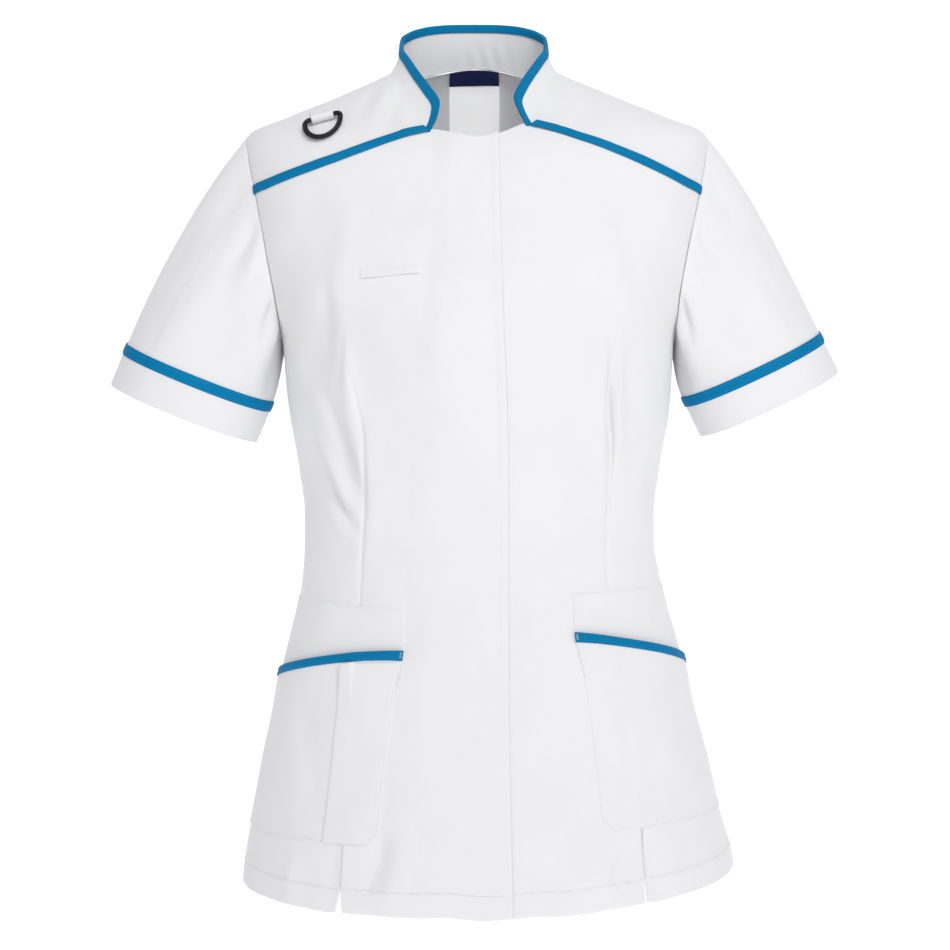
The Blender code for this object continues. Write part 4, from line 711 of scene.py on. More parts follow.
for name, side in SIDES:
    points, normals = on_cloth(forms[name], row_places[:, None], column_places)
    x, z = points[..., 0], points[..., 2]
    u, v = measured(points)
    sink = track(DART_SINK)(z) * near(x - track(DART_LINE[name])(z) + DART_SHIFT, DART_WIDTH) * under_arm
    lift = turned_edge(v, HEM) + turned_edge(u, FRONT_FOLD, 0.0003) - sink
    lift = lift - VENT_ROLL * vent * near(vent_edge, 0.05)
    lift = lift + seam_edge(v[-1] - v) + seam_edge(u[:, -1:] - u)
    ripple = np.sin(u / 0.0022 + 1.6 * np.sin(u / 0.021)) * (0.6 + 0.4 * np.sin(u / 0.047))
    lift = lift + HEM_RIPPLE * ripple * near(v - HEM, 0.007)
    if name == "right":
        lift = lift + LAP_RISE * (1 - ease(FRONT_CELLS - 1.0, FRONT_CELLS, column_places))
        for stud_z, stud_x in STUD_MARKS:
            lift = lift + STUD_RISE * near(np.hypot(x - stud_x, z - stud_z) - STUD_RADIUS, 0.0013)
    cloth_piece("front_panel_" + name, "front_" + name, points, normals, lift, CLOTH, {"keep": keep},
                flat=(0.30, 0.70), area=FRONT_AREA[name], held="draped")

# The back: one panel of the same twill with two long waist darts, from side seam to side seam and up to
# the shoulder seams and the neck. Its hem is turned up and stitched like the fronts'.

BACK_DART = ((-0.73, 0.1), (-0.56, 0.09), (-0.42, 0.082), (-0.27, 0.085), (-0.235, 0.085))
BACK_DART_SINK = ((-0.73, 0.0), (-0.56, 0.0), (-0.49, 0.0012), (-0.4, 0.0024), (-0.3, 0.0012), (-0.25, 0.0))
BACK_DART_GAP, BACK_DART_WIDTH = 0.001, 0.0022
BACK_HEM_DROP = 0.012
NECK_CELLS = 5
# The stand collar from its front end to the centre back, for the wearer's left half:
# base x, y; edge x, y, z
COLLAR_LINES = (
    (0.0475, -0.0715, 0.0402, -0.0735, -0.054),
    (0.05, -0.061, 0.0328, -0.067, -0.033),
    (0.056, -0.047, 0.0405, -0.0545, -0.015),
    (0.064, -0.032, 0.05, -0.0405, 0.0),
    (0.071, -0.0165, 0.0595, -0.0215, 0.0165),
    (0.0745, 0.002, 0.065, -0.002, 0.029),
    (0.072, 0.02, 0.0635, 0.016, 0.039),
    (0.06, 0.0385, 0.053, 0.0325, 0.048),
    (0.04, 0.0495, 0.035, 0.044, 0.054),
    (0.02, 0.054, 0.017, 0.0495, 0.0561),
    (0.0, 0.055, 0.0, 0.051, 0.0565),
)
COLLAR_STATIONS = (0.0, 0.45, 1.1, 1.9, 2.75, 3.65, 4.6)
COLLAR_CELLS = 3
NECK_SHIFT = -0.003


def height_on_form(plan):
    """Return the height of the form's top at points given by x and y."""
    even = np.ones(len(plan))
    return halved(-0.2 * even, 0.042 * even, lambda at: form_at(np.column_stack([plan, at])) < 1)


def collar_lines(side_name, side):
    """Return the collar's base and edge at each station from the front end to the centre back."""
    behind = np.linspace(COLLAR_STATIONS[-1], len(COLLAR_LINES) - 1, NECK_CELLS + 1)
    turns = np.concatenate([COLLAR_STATIONS, behind[1:]])
    rows = [(i, *row) for i, row in enumerate(COLLAR_LINES)]
    base_x, base_y, edge_x, edge_y, edge_z = (track(rows, column)(turns) for column in range(1, 6))
    shift = NECK_SHIFT * ease(0, 3, turns)
    plan = np.column_stack([side * base_x + shift, base_y])
    base = np.column_stack([plan, height_on_form(plan)])
    edge = np.column_stack([side * edge_x + shift, edge_y, edge_z])
    seam, seam_end = yoke_seam(side_name, side)
    fade = (1 - ease(0, COLLAR_STATIONS[-1], turns))[:, None]
    base = onto_form(base + (seam[-1] - base[0]) * fade)
    base[0] = seam[-1]
    return base, edge + (seam_end - edge[0]) * fade


def shoulder_seam(side_name, side):
    """Return the shoulder seam from the armhole to the collar's base."""
    neck = collar_lines(side_name, side)[0][YOKE_CELLS]
    over = armhole(side, ARMHOLE_YOKE, YOKE_CELLS)
    plan = np.linspace(over[-1][:2], neck[:2], 60)
    line = spaced(np.column_stack([plan, height_on_form(plan)]), SHOULDER_CELLS)
    line[0], line[-1] = over[-1], neck
    return line


def back_form():
    """Lay out the back from the wearer's right side seam to the left one, the hem row first."""
    middle_cells = SHOULDER_CELLS + NECK_CELLS - SIDE_CELLS - 1
    lower = []
    for right_row, left_row in zip(rows_of("right"), rows_of("left")):
        level = (right_row[2] + left_row[2]) / 2
        x = track(BACK_DART)(level)
        outer, inner = (abs(turn_at_x(x + gap, level, True)) for gap in (BACK_DART_GAP, -BACK_DART_GAP))
        quarter = np.concatenate([np.linspace(math.pi / 2, outer, SIDE_CELLS + 1),
                                  np.linspace(inner, math.pi, middle_cells + 1)])
        turns = np.concatenate([-quarter, quarter[-2::-1]])
        share = np.linspace(0, 1, len(turns))
        drop = BACK_HEM_DROP * (1 - ease(-0.71, -0.5, level)) * np.sin(share * math.pi) ** 1.5
        lower.append(form_point(turns,
                                right_row[2] + (left_row[2] - right_row[2]) * ease(0, 1, share) - drop))
    necks = [collar_lines(name, side)[0][YOKE_CELLS:] for name, side in SIDES]
    shoulders = [shoulder_seam(name, side) for name, side in SIDES]
    top = np.vstack([shoulders[0], necks[0][1:], necks[1][::-1][1:], shoulders[1][::-1][1:]])
    edges = [armhole(side, ARMHOLE_BACK, ARMHOLE_BACK_CELLS)[::-1] for _, side in SIDES]
    for edge, end in zip(edges, (0, -1)):
        edge[0], edge[-1] = lower[-1][end], top[end]
    upper = filled(lower[-1], top, *edges)
    fine = dressed(onto_form(refined(np.vstack([lower, upper[1:]]))))
    return {"points": fine, "normals": facing(fine)}


back = back_form()
BACK_ROWS = ARMPIT + ARMHOLE_BACK_CELLS
BACK_COLUMNS = 2 * (SHOULDER_CELLS + NECK_CELLS)
FAR_DART = BACK_COLUMNS - SIDE_CELLS
row_places = steps((0, 0.02), (0.08, 0.09), (1.0, 0.03), (1.3, 0.2), (ARMPIT, 0.2), (BACK_ROWS - 0.1, 0.03),
                   BACK_ROWS)
column_places = steps((0, 0.04), (0.12, 0.15), (SIDE_CELLS - 0.2, 0.06), (SIDE_CELLS, 0.34),
                      (SIDE_CELLS + 1, 0.06), (SIDE_CELLS + 1.2, 0.17), (FAR_DART - 1.2, 0.06),
                      (FAR_DART - 1, 0.34), (FAR_DART, 0.06), (FAR_DART + 0.2, 0.15),
                      (BACK_COLUMNS - 0.12, 0.04), BACK_COLUMNS)
points, normals = on_cloth(back, row_places[:, None], column_places)
u, v = measured(points)
x, z = points[..., 0], points[..., 2]
under_arm = 1 - ease(ARMPIT - 1.0, ARMPIT, row_places)[:, None]
sink = track(BACK_DART_SINK)(z) * near(np.abs(x) - track(BACK_DART)(z), BACK_DART_WIDTH) * under_arm
lift = turned_edge(v, HEM) - sink + seam_edge(v[-1] - v) + seam_edge(u) + seam_edge(u[:, -1:] - u)
cloth_piece("back_panel", "back", points, normals, lift, CLOTH, flat=(0.52, 0.74), area=0.345, held="draped")

# The yokes with the stand collar. Each yoke is cut in one with its half of the collar, which is doubled
# and pressed. The two halves meet in a seam at the centre back.

COLLAR_BULGE = 0.0012
YOKE_SEAM_SINK, NECK_SEAM_SINK, CENTRE_SEAM_SINK = 0.0007, 0.0006, 0.0006
# The small gathers of the collar at the back: middle x, z; half width, half height; step; slant; height
GATHER_X, GATHER_Z, GATHER_WIDE, GATHER_TALL, GATHER_STEP, GATHER_SLANT, GATHER_RISE = (
    0.009, 0.027, 0.019, 0.011, 0.0125, 90, 0.0011)
COLLAR_ROWS = YOKE_CELLS + NECK_CELLS
COLLAR_COLUMNS = SHOULDER_CELLS + COLLAR_CELLS


def yoke_form(side_name, side):
    """Lay out one yoke and its collar half; rows go round the neck, columns from armhole to collar edge."""
    seam, _ = yoke_seam(side_name, side)
    base, edge = collar_lines(side_name, side)
    over = armhole(side, ARMHOLE_YOKE, YOKE_CELLS)
    flat = filled(seam, shoulder_seam(side_name, side), over, base[: YOKE_CELLS + 1])
    flat = dressed(onto_form(refined(flat)))
    stand = refined(base[:, None] + (edge - base)[:, None] * np.linspace(0, 1, COLLAR_CELLS + 1)[:, None])
    low, split = len(flat), SHOULDER_CELLS * FINE
    flat[:, -1] = stand[:low, 0]
    flat_normals, stand_normals = outward(flat), facing(stand)
    if stand_normals[-1, 0, 1] < 0:
        stand_normals = -stand_normals
    bulge = COLLAR_BULGE * np.sin(np.linspace(0, math.pi, stand.shape[1]))
    stand = stand - stand_normals * bulge[:, None]
    points, normals = np.zeros((2, len(stand), split + stand.shape[1], 3))
    points[:low, : split + 1], normals[:low, : split + 1] = flat, flat_normals
    points[:, split:], normals[:, split:] = stand, stand_normals
    normals[:low, split] = unit(flat_normals[:, -1] + stand_normals[:low, 0])
    return {"points": points, "normals": normals}


yokes = {name: yoke_form(name, side) for name, side in SIDES}
row_places = steps((0, 0.04), (0.12, 0.15), (YOKE_CELLS - 0.12, 0.04), (YOKE_CELLS, 0.15),
                   (COLLAR_ROWS - 0.12, 0.04), COLLAR_ROWS)
column_places = steps((0, 0.04), (0.12, 0.2), (SHOULDER_CELLS, 0.1), COLLAR_COLUMNS)
row_mid, column_mid = ((places[1:] + places[:-1]) / 2 for places in (row_places, column_places))
keep = ~((row_mid[:, None] > YOKE_CELLS) & (column_mid < SHOULDER_CELLS))
down = row_places[:, None]
on_collar = column_places >= SHOULDER_CELLS
shoulder = (1 - ease(0, 0.1, np.abs(down - YOKE_CELLS))) * ~on_collar
neck_seam = (down >= YOKE_CELLS) * (1 - ease(0, 0.12, np.abs(column_places - SHOULDER_CELLS)))
seams = 2 - ease(0, 0.1, down) - ease(0, 0.1, column_places) + shoulder
seams = YOKE_SEAM_SINK * seams + NECK_SEAM_SINK * neck_seam
centre_groove = CENTRE_SEAM_SINK * (1 - ease(0, 0.08, COLLAR_ROWS - down)) * on_collar
grid_uv = np.stack(np.meshgrid(row_places * 0.0125, column_places * 0.0155, indexing="ij"), axis=-1)
for name, side in SIDES:
    points, normals = on_cloth(yokes[name], down, column_places)
    x, y, z = np.moveaxis(points, -1, 0)
    gathers = near(x - GATHER_X, GATHER_WIDE) * near(z - GATHER_Z, GATHER_TALL) * (y > 0) * on_collar
    wave = np.sin(x * 2 * math.pi / GATHER_STEP + GATHER_SLANT * (z - GATHER_Z))
    lift = GATHER_RISE * gathers * wave - seams - centre_groove
    cloth_piece("yoke_and_collar_" + name, "yoke_collar_" + name, points, normals, lift,
                CLOTH - centre_groove, {"keep": keep, "uv": grid_uv}, flat=(0.24, 0.17), area=0.02,
                held="draped")

# The short set-in sleeves: one panel each, sewn to the armhole and down the underarm, with a doubled
# cuff band under the tape.

# Outer and inner end of each cuff: x, z
CUFF = {"right": ((-0.324, -0.271), (-0.1955, -0.323)), "left": ((0.3195, -0.26), (0.1985, -0.318))}
CUFF_HALF_DEPTH = 0.054
CUFF_SQUARENESS = 2.2
CUFF_BOW = 0.005
CUFF_BAND = 0.029
CUFF_TAPE = 0.009
SLEEVE_ROWS = 6
SLEEVE_LENGTH = SLEEVE_ROWS + 3
LOOP_CELLS = ARMHOLE_FRONT_CELLS + YOKE_CELLS + ARMHOLE_BACK_CELLS
# Folds round the sleeve: place round from the underarm, place down, width round, length down, slant, height
SLEEVE_FOLDS = (
    (0.3, 0.45, 0.035, 0.3, 0.1, 0.0034),
    (0.22, 0.5, 0.028, 0.28, 0.06, -0.0026),
    (0.12, 0.4, 0.03, 0.26, 0.05, 0.003),
    (0.06, 0.52, 0.026, 0.3, 0.0, -0.0026),
    (0.4, 0.35, 0.03, 0.2, 0.04, -0.0016),
    (0.7, 0.45, 0.04, 0.3, -0.08, 0.0034),
    (0.8, 0.5, 0.028, 0.28, -0.05, -0.0026),
    (0.9, 0.42, 0.03, 0.3, 0.0, 0.0028),
    (0.6, 0.35, 0.03, 0.22, -0.04, -0.0014),
    (0.265, 0.1, 0.014, 0.18, 0.02, -0.0045),
    (0.225, 0.12, 0.014, 0.16, 0.0, 0.0026),
    (0.125, 0.14, 0.015, 0.25, 0.03, -0.005),
    (0.09, 0.13, 0.013, 0.2, 0.02, 0.0026),
    (0.35, 0.12, 0.03, 0.16, 0.05, -0.0018),
)


def armhole_loop(side_name, side):
    """Return one armhole loop from the armpit round the front and down the back, and its body normals."""
    bottom = ARMPIT * FINE
    parts = (
        (forms[side_name], slice(bottom, FRONT_ROWS * FINE + 1, FINE), -1),
        (yokes[side_name], slice(FINE, YOKE_CELLS * FINE + 1, FINE), 0),
        (back, slice((BACK_ROWS - 1) * FINE, bottom, -FINE), -1 if side > 0 else 0),
    )
    return (np.concatenate([panel[key][rows, at] for panel, rows, at in parts])
            for key in ("points", "normals"))


def sleeve_form(side_name, side):
    """Loft one sleeve from its armhole to its cuff; rows go from the armhole to the cuff."""
    outer_end, inner_end = (np.array([x, 0.0, z]) for x, z in CUFF[side_name])
    centre, half = (outer_end + inner_end) / 2, (inner_end - outer_end) / 2
    down = unit(np.array([half[2], 0.0, -half[0]]))
    down = -down if down[2] > 0 else down
    loop, loop_normals = armhole_loop(side_name, side)
    along = lengths(np.vstack([loop, loop[:1]]))
    top = ARMHOLE_FRONT_CELLS + YOKE_CELLS + 1
    share = np.interp(along, [0, along[top], along[-1]], [0, 0.5, 1])
    around = share[:-1, None] * 2 * math.pi
    width, depth = (np.sign(part) * np.abs(part) ** (2 / CUFF_SQUARENESS)
                    for part in (np.cos(around), np.sin(around)))
    end = centre + half * width - np.array([0.0, CUFF_HALF_DEPTH, 0.0]) * depth
    end = end + down * CUFF_BOW * np.abs(np.sin(around))
    chord = end - loop
    length = np.linalg.norm(chord, axis=1)[:, None] - CUFF_BAND - CUFF_TAPE
    under = np.clip(np.cos(around), 0, 1) ** 3
    start_way = unit(loop_normals * 0.25 + unit(chord) + np.array([0.0, 0.0, -0.1]))
    start_way = unit(start_way * (1 - under) + np.array([side * 0.1, 0.0, -1.0]) * under)
    band_top = end - down * (CUFF_BAND + CUFF_TAPE)
    rows = [curve_between(loop, band_top, start_way * length, down * length, step / SLEEVE_ROWS)
            for step in range(SLEEVE_ROWS + 1)]
    rows += [end - down * distance for distance in (CUFF_BAND, CUFF_BAND / 2, 0.0)]
    fine = refined(np.array(rows), even=True, closed=True)
    normals = facing(fine, closed=True)
    steps_down = np.linspace(0, 1, len(fine))[:, None]
    fine_share = np.interp(np.arange(fine.shape[1]) / FINE, np.arange(len(share)), share)
    lift = 0.0
    for at, on, wide, long, slant, height in SLEEVE_FOLDS:
        distance = (fine_share - at - slant * (steps_down - on) + 0.5) % 1 - 0.5
        lift = lift + height * near(distance, wide) * near(steps_down - on, long) ** 2
    lift = lift * ease(0.0, 0.07, steps_down) * (1 - ease(0.55, 0.76, steps_down))
    fine = fine + normals * lift[..., None]
    return {"points": fine, "normals": facing(fine, closed=True), "closed": True}


sleeves = {name: sleeve_form(name, side) for name, side in SIDES}
row_places = steps((0, 0.03), (0.12, 0.12), (SLEEVE_ROWS, 0.14), (SLEEVE_LENGTH - 0.12, 0.03), SLEEVE_LENGTH)
loop_places = steps((0, 0.16), LOOP_CELLS)[:-1]
cuff_rise = 0.0004 * ease(SLEEVE_ROWS + 0.3, SLEEVE_ROWS + 0.9, row_places)[:, None]
underarm_sink = 0.0009 * near(np.minimum(loop_places, LOOP_CELLS - loop_places), 0.09)
for name, side in SIDES:
    points, normals = on_cloth(sleeves[name], row_places[:, None], loop_places)
    lift = cuff_rise - 0.0008 * (1 - ease(0, 0.0014, measured(points)[1])) - underarm_sink
    cloth_piece("sleeve_panel_" + name, "sleeve_" + name, points, normals, lift, CLOTH, {"closed": True},
                flat=(0.4, 0.25), area=0.064, held="draped")

# Turquoise tapes: a flat woven tape on each yoke seam, on each cuff and on each pocket mouth. All are
# sewn down flat near both edges.

TAPE = 0.0009
TAPE_HALF = 0.004
TAPE_GAP = 0.0002
YOKE_TAPE_CELLS, CUFF_TAPE_CELLS = (8, 96), 7
YOKE_TAPE_END = {"right": (0.002, 0.55), "left": (0.0055, 0.5)}
COLLAR_STEP = 0.0006
tape_cloth = fabric("turquoise_tape", (0.0, 0.212, 0.455), 0.62, 0.0011, twill=False, dirt=0.04, sheen=0.0,
                    depth=0.00007, shine=0.08)
tape_rows = []


def tape_piece(name, solid, points, normals, lift, length, width, closed=False):
    """Lay one flat tape with soft edges over the points of the cloth below it."""
    shape = {"closed": closed, "uv": np.stack(measured(points), axis=-1), "rim": 0.5}
    cloth_piece(name, solid, points, normals, lift, TAPE, shape, tape_cloth, "turquoise_tape",
                flat=(length, max(width, 0.010)), area=length * width, held="laid")


def crowned(cells, rise=0.0004):
    """Return the soft crown of a tape across its width."""
    return rise * np.sin(np.linspace(0, math.pi, cells + 1))[:, None] ** 0.5


def edge_stitched(top, normals, rows, out):
    """Note the rows of a tape's own grid along which it is stitched down."""
    tape_rows.extend((top[row, 2:-2], normals[row, 2:-2], out) for row in rows)


for name, side in SIDES:
    low, _ = on_cloth(forms[name], FRONT_ROWS, np.linspace(FRONT_COLUMNS, FRONT_CELLS, 90))
    up, _ = on_cloth(yokes[name], 0.0, np.linspace(0, SHOULDER_CELLS, 90))
    end, _ = on_cloth(yokes[name], 0.0, COLLAR_COLUMNS)
    across, along = YOKE_TAPE_CELLS
    seam = spaced(np.vstack([(low[:-1] + up[:-1]) / 2, end]), along)
    rise = np.cross(outward(seam), unit(np.gradient(seam, axis=0)))
    rise = rise * np.sign(rise[:, 2:])
    offsets = np.linspace(-TAPE_HALF, TAPE_HALF, across + 1)
    stop, slant = YOKE_TAPE_END[name]
    end_place = 1 - (stop + (offsets + TAPE_HALF) * slant) / lengths(seam)[-1]
    stops = np.arange(along + 1)
    points = onto_form(np.stack([
        placed(stops * place, stops, seam + rise * offset) for offset, place in zip(offsets, end_place)
    ]))
    normals = outward(points)
    on_collar = np.where(np.linspace(0, 1, along + 1) > 0.88, COLLAR_STEP, 0.0)
    lift = TAPE + 0.0003 + crowned(across) + on_collar + fold_rise(points, normals)
    tape_piece("yoke_tape_" + name, "yoke_trim_" + name, points, normals, lift, 0.165, 0.008)
    edge_stitched(points + normals * lift[..., None], normals, (1, across - 1), 0.0003)

    rows = SLEEVE_ROWS + np.linspace(0, 1, CUFF_TAPE_CELLS + 1)
    points, normals = on_cloth(sleeves[name], rows[:, None], loop_places)
    tape_piece("cuff_tape_" + name, "sleeve_tape_" + name, points, normals,
               TAPE + TAPE_GAP + crowned(CUFF_TAPE_CELLS), 0.37, 0.0092, closed=True)

# The collar binding: one turquoise tape folded over the whole edge of the stand collar, from the end of
# the right front's neckline round to the left one, and edge-stitched.

BINDING = (0.0062, 0.0074)
BINDING_GAP, BINDING_WALL = 0.0006, TAPE * 0.6
BINDING_OVER = 0.0045
BINDING_CELLS = 259

halves = [
    (yoke["points"][:, -1], unit(yoke["points"][:, -1] - yoke["points"][:, -FINE]), yoke["normals"][:, -1])
    for yoke in yokes.values()
]
edge, rise, normals = (np.concatenate([right, left[::-1][1:]]) for right, left in zip(*halves))
start, end = (unit(edge[k] - edge[next_one]) * BINDING_OVER + edge[k] for k, next_one in ((0, 1), (-1, -2)))
edge = np.vstack([start, edge, end])
rise, normals = (np.concatenate([line[:1], line, line[-1:]]) for line in (rise, normals))
along = lengths(edge)
places = np.linspace(0.0, along[-1], BINDING_CELLS + 1)
edge, rise, normals = (placed(places, along, line) for line in (edge, rise, normals))
for _ in range(6):
    rise[1:-1], normals[1:-1] = (unit(line[:-2] + line[2:] + 2 * line[1:-1]) for line in (rise, normals))
from_end = np.minimum(places, along[-1] - places)
width = BINDING[0] + (BINDING[1] - BINDING[0]) * (1 - ease(0.05, 0.12, from_end))
over_front = 0.0013 * (1 - ease(0.002, 0.016, from_end))
reach = BINDING_GAP + BINDING_WALL
wrap = [(reach + 0.0003 * math.sin(t * math.pi), -(1 - t) * width) for t in np.linspace(0, 1, 8)]
wrap += [((CLOTH / 2 + reach) * math.cos(angle) - CLOTH / 2, reach * math.sin(angle))
         for angle in np.linspace(0, math.pi, 7)]
wrap += [(-CLOTH - reach, -t * width) for t in np.linspace(0, 1, 6)]
outer = np.stack([
    edge + normals * (out + over_front * (out > -CLOTH / 2))[:, None] + rise * np.reshape(up, (-1, 1))
    for out, up in wrap
])
centres = np.stack([
    edge - normals * (CLOTH / 2) + rise * np.reshape(np.minimum(up, 0), (-1, 1)) for _, up in wrap
])
way = unit(np.cross(np.gradient(outer, axis=1), np.gradient(outer, axis=0)))
way = way * np.sign(np.sum(way * (outer - centres), axis=2, keepdims=True))
edge_stitched(outer, way, (1,), 0.0003)
cloth_piece("collar_binding_tape", "collar_binding", outer, way, 0.0, BINDING_WALL, {"rim": 0.5}, tape_cloth,
            "turquoise_tape", flat=(0.4, 0.0185), held="folded")

# The hip pockets. A straight patch of twill backs each mouth, the patch pocket lies over it with a cut
# lower corner, and its slanting mouth is bound with turquoise tape. The side edge is caught in the side
# seam; the other edges are turned in and stitched.

POCKET_GAPE = 0.0018
POCKET_CORNER = (0.62, 1.35)
POCKET_FOLD = 0.0018
TAPE_TOP, TAPE_LAP = 0.76, 0.22
MOUTH_CELL = 0.0113
MOUTH_CELLS = 7
MOUTH_RISE = {"right": 0.0, "left": 0.0017}
BAND, MOUTH, POCKET_TOP = row_of("mouth_band"), row_of("mouth"), row_of("pocket_top")
# One stitch and the gap after it, in a bar of dense stitches
BAR_STITCH = (0.0012, 0.0001)


def pocket_rise(rows, across):
    """Return how far a pocket stands off the front, most at its mouth and at half its width."""
    depth = (rows - VENT_TOP) / (MOUTH - VENT_TOP)
    gape = POCKET_GAPE * np.sin(across * math.pi) ** 0.8 * ease(0.1, 1.0, depth)
    return 0.0014 * ease(0.6, 0.86, depth) + gape


pockets, mouth_bars = {}, []
for name, side in SIDES:
    form, under = forms[name], ["front_panel_" + name]
    rows = steps((BAND - 0.6, 0.1), (MOUTH, 0.1), (POCKET_TOP - 0.08, 0.02), POCKET_TOP)
    columns = steps((FRONT_CELLS, 0.03), (FRONT_CELLS + 0.3, 0.15), FRONT_COLUMNS)
    points, normals = on_cloth(form, rows[:, None], columns)
    u, v = measured(points)
    lift = 0.001 + turned_edge(v[-1] - v, 0.0, 0.0, 0.0007) + turned_edge(u, 0.0015, 0.0002, 0.0006)
    cloth_piece("pocket_back_patch_" + name, "pocket_backing_" + name, points, normals, lift, 0.0009,
                flat=(0.138, 0.09), area=0.0108, held="laid", rests_on=under)

    columns = steps((FRONT_CELLS, 0.03), (FRONT_CELLS + 0.35, 0.13), (FRONT_COLUMNS - 0.1, 0.05),
                    FRONT_COLUMNS)
    share = steps((0, 0.004), (0.03, 0.02), (0.97, 0.005), 1)[:, None]
    low = VENT_TOP + POCKET_CORNER[0] * (1 - np.clip((columns - FRONT_CELLS) / POCKET_CORNER[1], 0, 1)) ** 2
    rows = low + (BAND + TAPE_TOP - TAPE_LAP - low) * share
    flat_points, flat_normals = on_cloth(form, rows, columns)
    points, normals = eased(flat_points, 4), eased(flat_normals, 4)
    u, v = measured(points)
    lift = 0.0012 + pocket_rise(rows, np.linspace(0, 1, len(columns)))
    if name == "left":
        lift = lift - 0.0009 * (1 - ease(0.0, 0.024, u))
    shaped = lift + sum(turned_edge(distance, POCKET_FOLD, 0.0002, 0.0011) for distance in (v, u))
    shaped = shaped + seam_edge(u[:, -1:] - u)
    cloth_piece("hip_pocket_panel_" + name, "hip_pocket_" + name, points, normals, shaped, 0.001,
                flat=(0.185, 0.175), area=0.0262, held="laid", rests_on=under)
    pockets[name] = {"rows": rows, "columns": columns, "points": flat_points, "normals": flat_normals,
                     "lift": lift}

    mouth_columns = steps((FRONT_CELLS - 0.02, 0.13), FRONT_COLUMNS)
    rows = np.linspace(BAND, BAND + TAPE_TOP, MOUTH_CELLS + 1)
    middle, _ = on_cloth(form, rows[4], mouth_columns)
    along, height = lengths(middle), middle[:, 2]
    smooth_height = np.polyval(np.polyfit(along, height, 3), along)
    smooth_height = smooth_height + MOUTH_RISE[name] * (1 - along / along[-1])
    rows = rows[:, None] + (smooth_height - height) / MOUTH_CELL
    points, normals = (eased(grid, 20) for grid in on_cloth(form, rows, mouth_columns))
    lift = np.interp(mouth_columns, columns, lift[-1]) + TAPE + TAPE_GAP + crowned(MOUTH_CELLS)
    tape_piece("mouth_tape_" + name, "pocket_trim_" + name, points, normals, lift, 0.18, 0.0086)
    top = points + normals * lift[..., None]
    edge_stitched(top, normals, (1, MOUTH_CELLS - 1), 0.0002)
    mouth_bars += [(top[1:-1, 0] * (1 - share) + top[1:-1, 1] * share, normals[1:-1, 0], 0.0003, 0.00026,
                    *BAR_STITCH)
                   for share in (0.5, 0.75, 1.0)]

# The pen pocket: a narrow patch sewn on the inner part of the right hip pocket, just under its tape, with
# a hemmed top edge that stands a little open.

PEN_WIDTH = (0.96, 0.93)
PEN_HEM, PEN_FOLD = 0.0095, 0.0016
PEN_OPEN = 0.0022
columns = steps((FRONT_CELLS + 0.14, 0.05), (FRONT_CELLS + 0.4, 0.12), (FRONT_CELLS + 4.6, 0.05),
                FRONT_CELLS + 4.9)
share = steps((0, 0.01), (0.06, 0.025), (0.8, 0.01), (0.9, 0.01), 1)[:, None]
bottom = np.interp(columns, pockets["right"]["columns"], pockets["right"]["rows"][0]) + 0.08
rows = bottom + (BAND - 0.12 - bottom) * share
columns = columns[0] + (columns - columns[0]) * (PEN_WIDTH[0] + (PEN_WIDTH[1] - PEN_WIDTH[0]) * share)
points, normals = (eased(grid, 4) for grid in on_cloth(forms["right"], rows, columns))
u, v = measured(points)
across = np.clip((columns - FRONT_CELLS) / (FRONT_COLUMNS - FRONT_CELLS), 0, 1)
open_top = PEN_OPEN * ease(0.75, 1.0, share) * ease(0.5, 0.9, np.linspace(0, 1, columns.shape[1]))
edges = sum(turned_edge(distance, PEN_FOLD, 0.0002, 0.0007) for distance in (u, u[:, -1:] - u))
lift = 0.0022 + pocket_rise(rows, across) + open_top + edges
pen = (points, normals, lift)
pen_hem_row = np.argmin(np.abs(v[-1, 20] - v[:, 20] - PEN_HEM))
pen_edge_column = np.argmin(np.abs(u[20, -1] - u[20] - PEN_FOLD))
cloth_piece("pen_pocket_panel", "pen_pocket", points, normals,
            lift + turned_edge(v[-1] - v, PEN_HEM, 0.0004, 0.0006),
            0.0009, flat=(0.062, 0.155), area=0.0084, held="laid", rests_on=["hip_pocket_panel_right"])

# The chest pocket's welt: a narrow doubled strip on the right chest. It is stitched down at both ends and
# along its upper edge, and the pocket's mouth is under its lower edge.

WELT = {"inner_x": -0.044, "outer_x": -0.101, "top_z": -0.169, "bottom_z": -0.1846}
WELT_RISE = 0.19
WELT_CELLS = (17, 59)
NEAR_CELL = 0.02


def place_on(panel, x, z):
    """Find the row and column of a panel, in its own cells, at x and z seen from the front."""
    grid = panel["points"]
    best = np.argmin((grid[..., 0] - x) ** 2 + (grid[..., 2] - z) ** 2)
    place = np.array(np.unravel_index(best, grid.shape[:2])) / FINE
    for _ in range(20):
        here, up, over = (on_cloth(panel, *(place + step))[0][[0, 2]]
                          for step in ((0, 0), (NEAR_CELL, 0), (0, NEAR_CELL)))
        slopes = np.stack([up - here, over - here], axis=1) / NEAR_CELL
        place = place + np.clip(np.linalg.solve(slopes, np.array([x, z]) - here), -0.5, 0.5)
    return place


row_low, column_in = place_on(forms["right"], WELT["inner_x"], WELT["bottom_z"])
row_high, _ = place_on(forms["right"], WELT["inner_x"], WELT["top_z"])
_, column_out = place_on(forms["right"], WELT["outer_x"], WELT["bottom_z"])
up, over = (np.linspace(0, 1, cells + 1) for cells in WELT_CELLS)
rows = (row_low + (row_high - row_low) * up)[:, None] + WELT_RISE * over ** 2
points, normals = on_cloth(forms["right"], rows, column_in + (column_out - column_in) * over)
u, v = measured(points)
ends = ease(0.0, 0.006, u) * ease(0.0, 0.005, u[:, -1:] - u)
lift = -0.0006 + (0.0016 * ease(0.0, 0.016, v[-1] - v) + 0.0002 * np.sin(u / 0.006)) * ends
cloth_piece("chest_pocket_welt", "chest_welt", points, normals, lift, 0.0008, flat=(0.0585, 0.0175),
            held="laid", rests_on=["front_panel_right"])

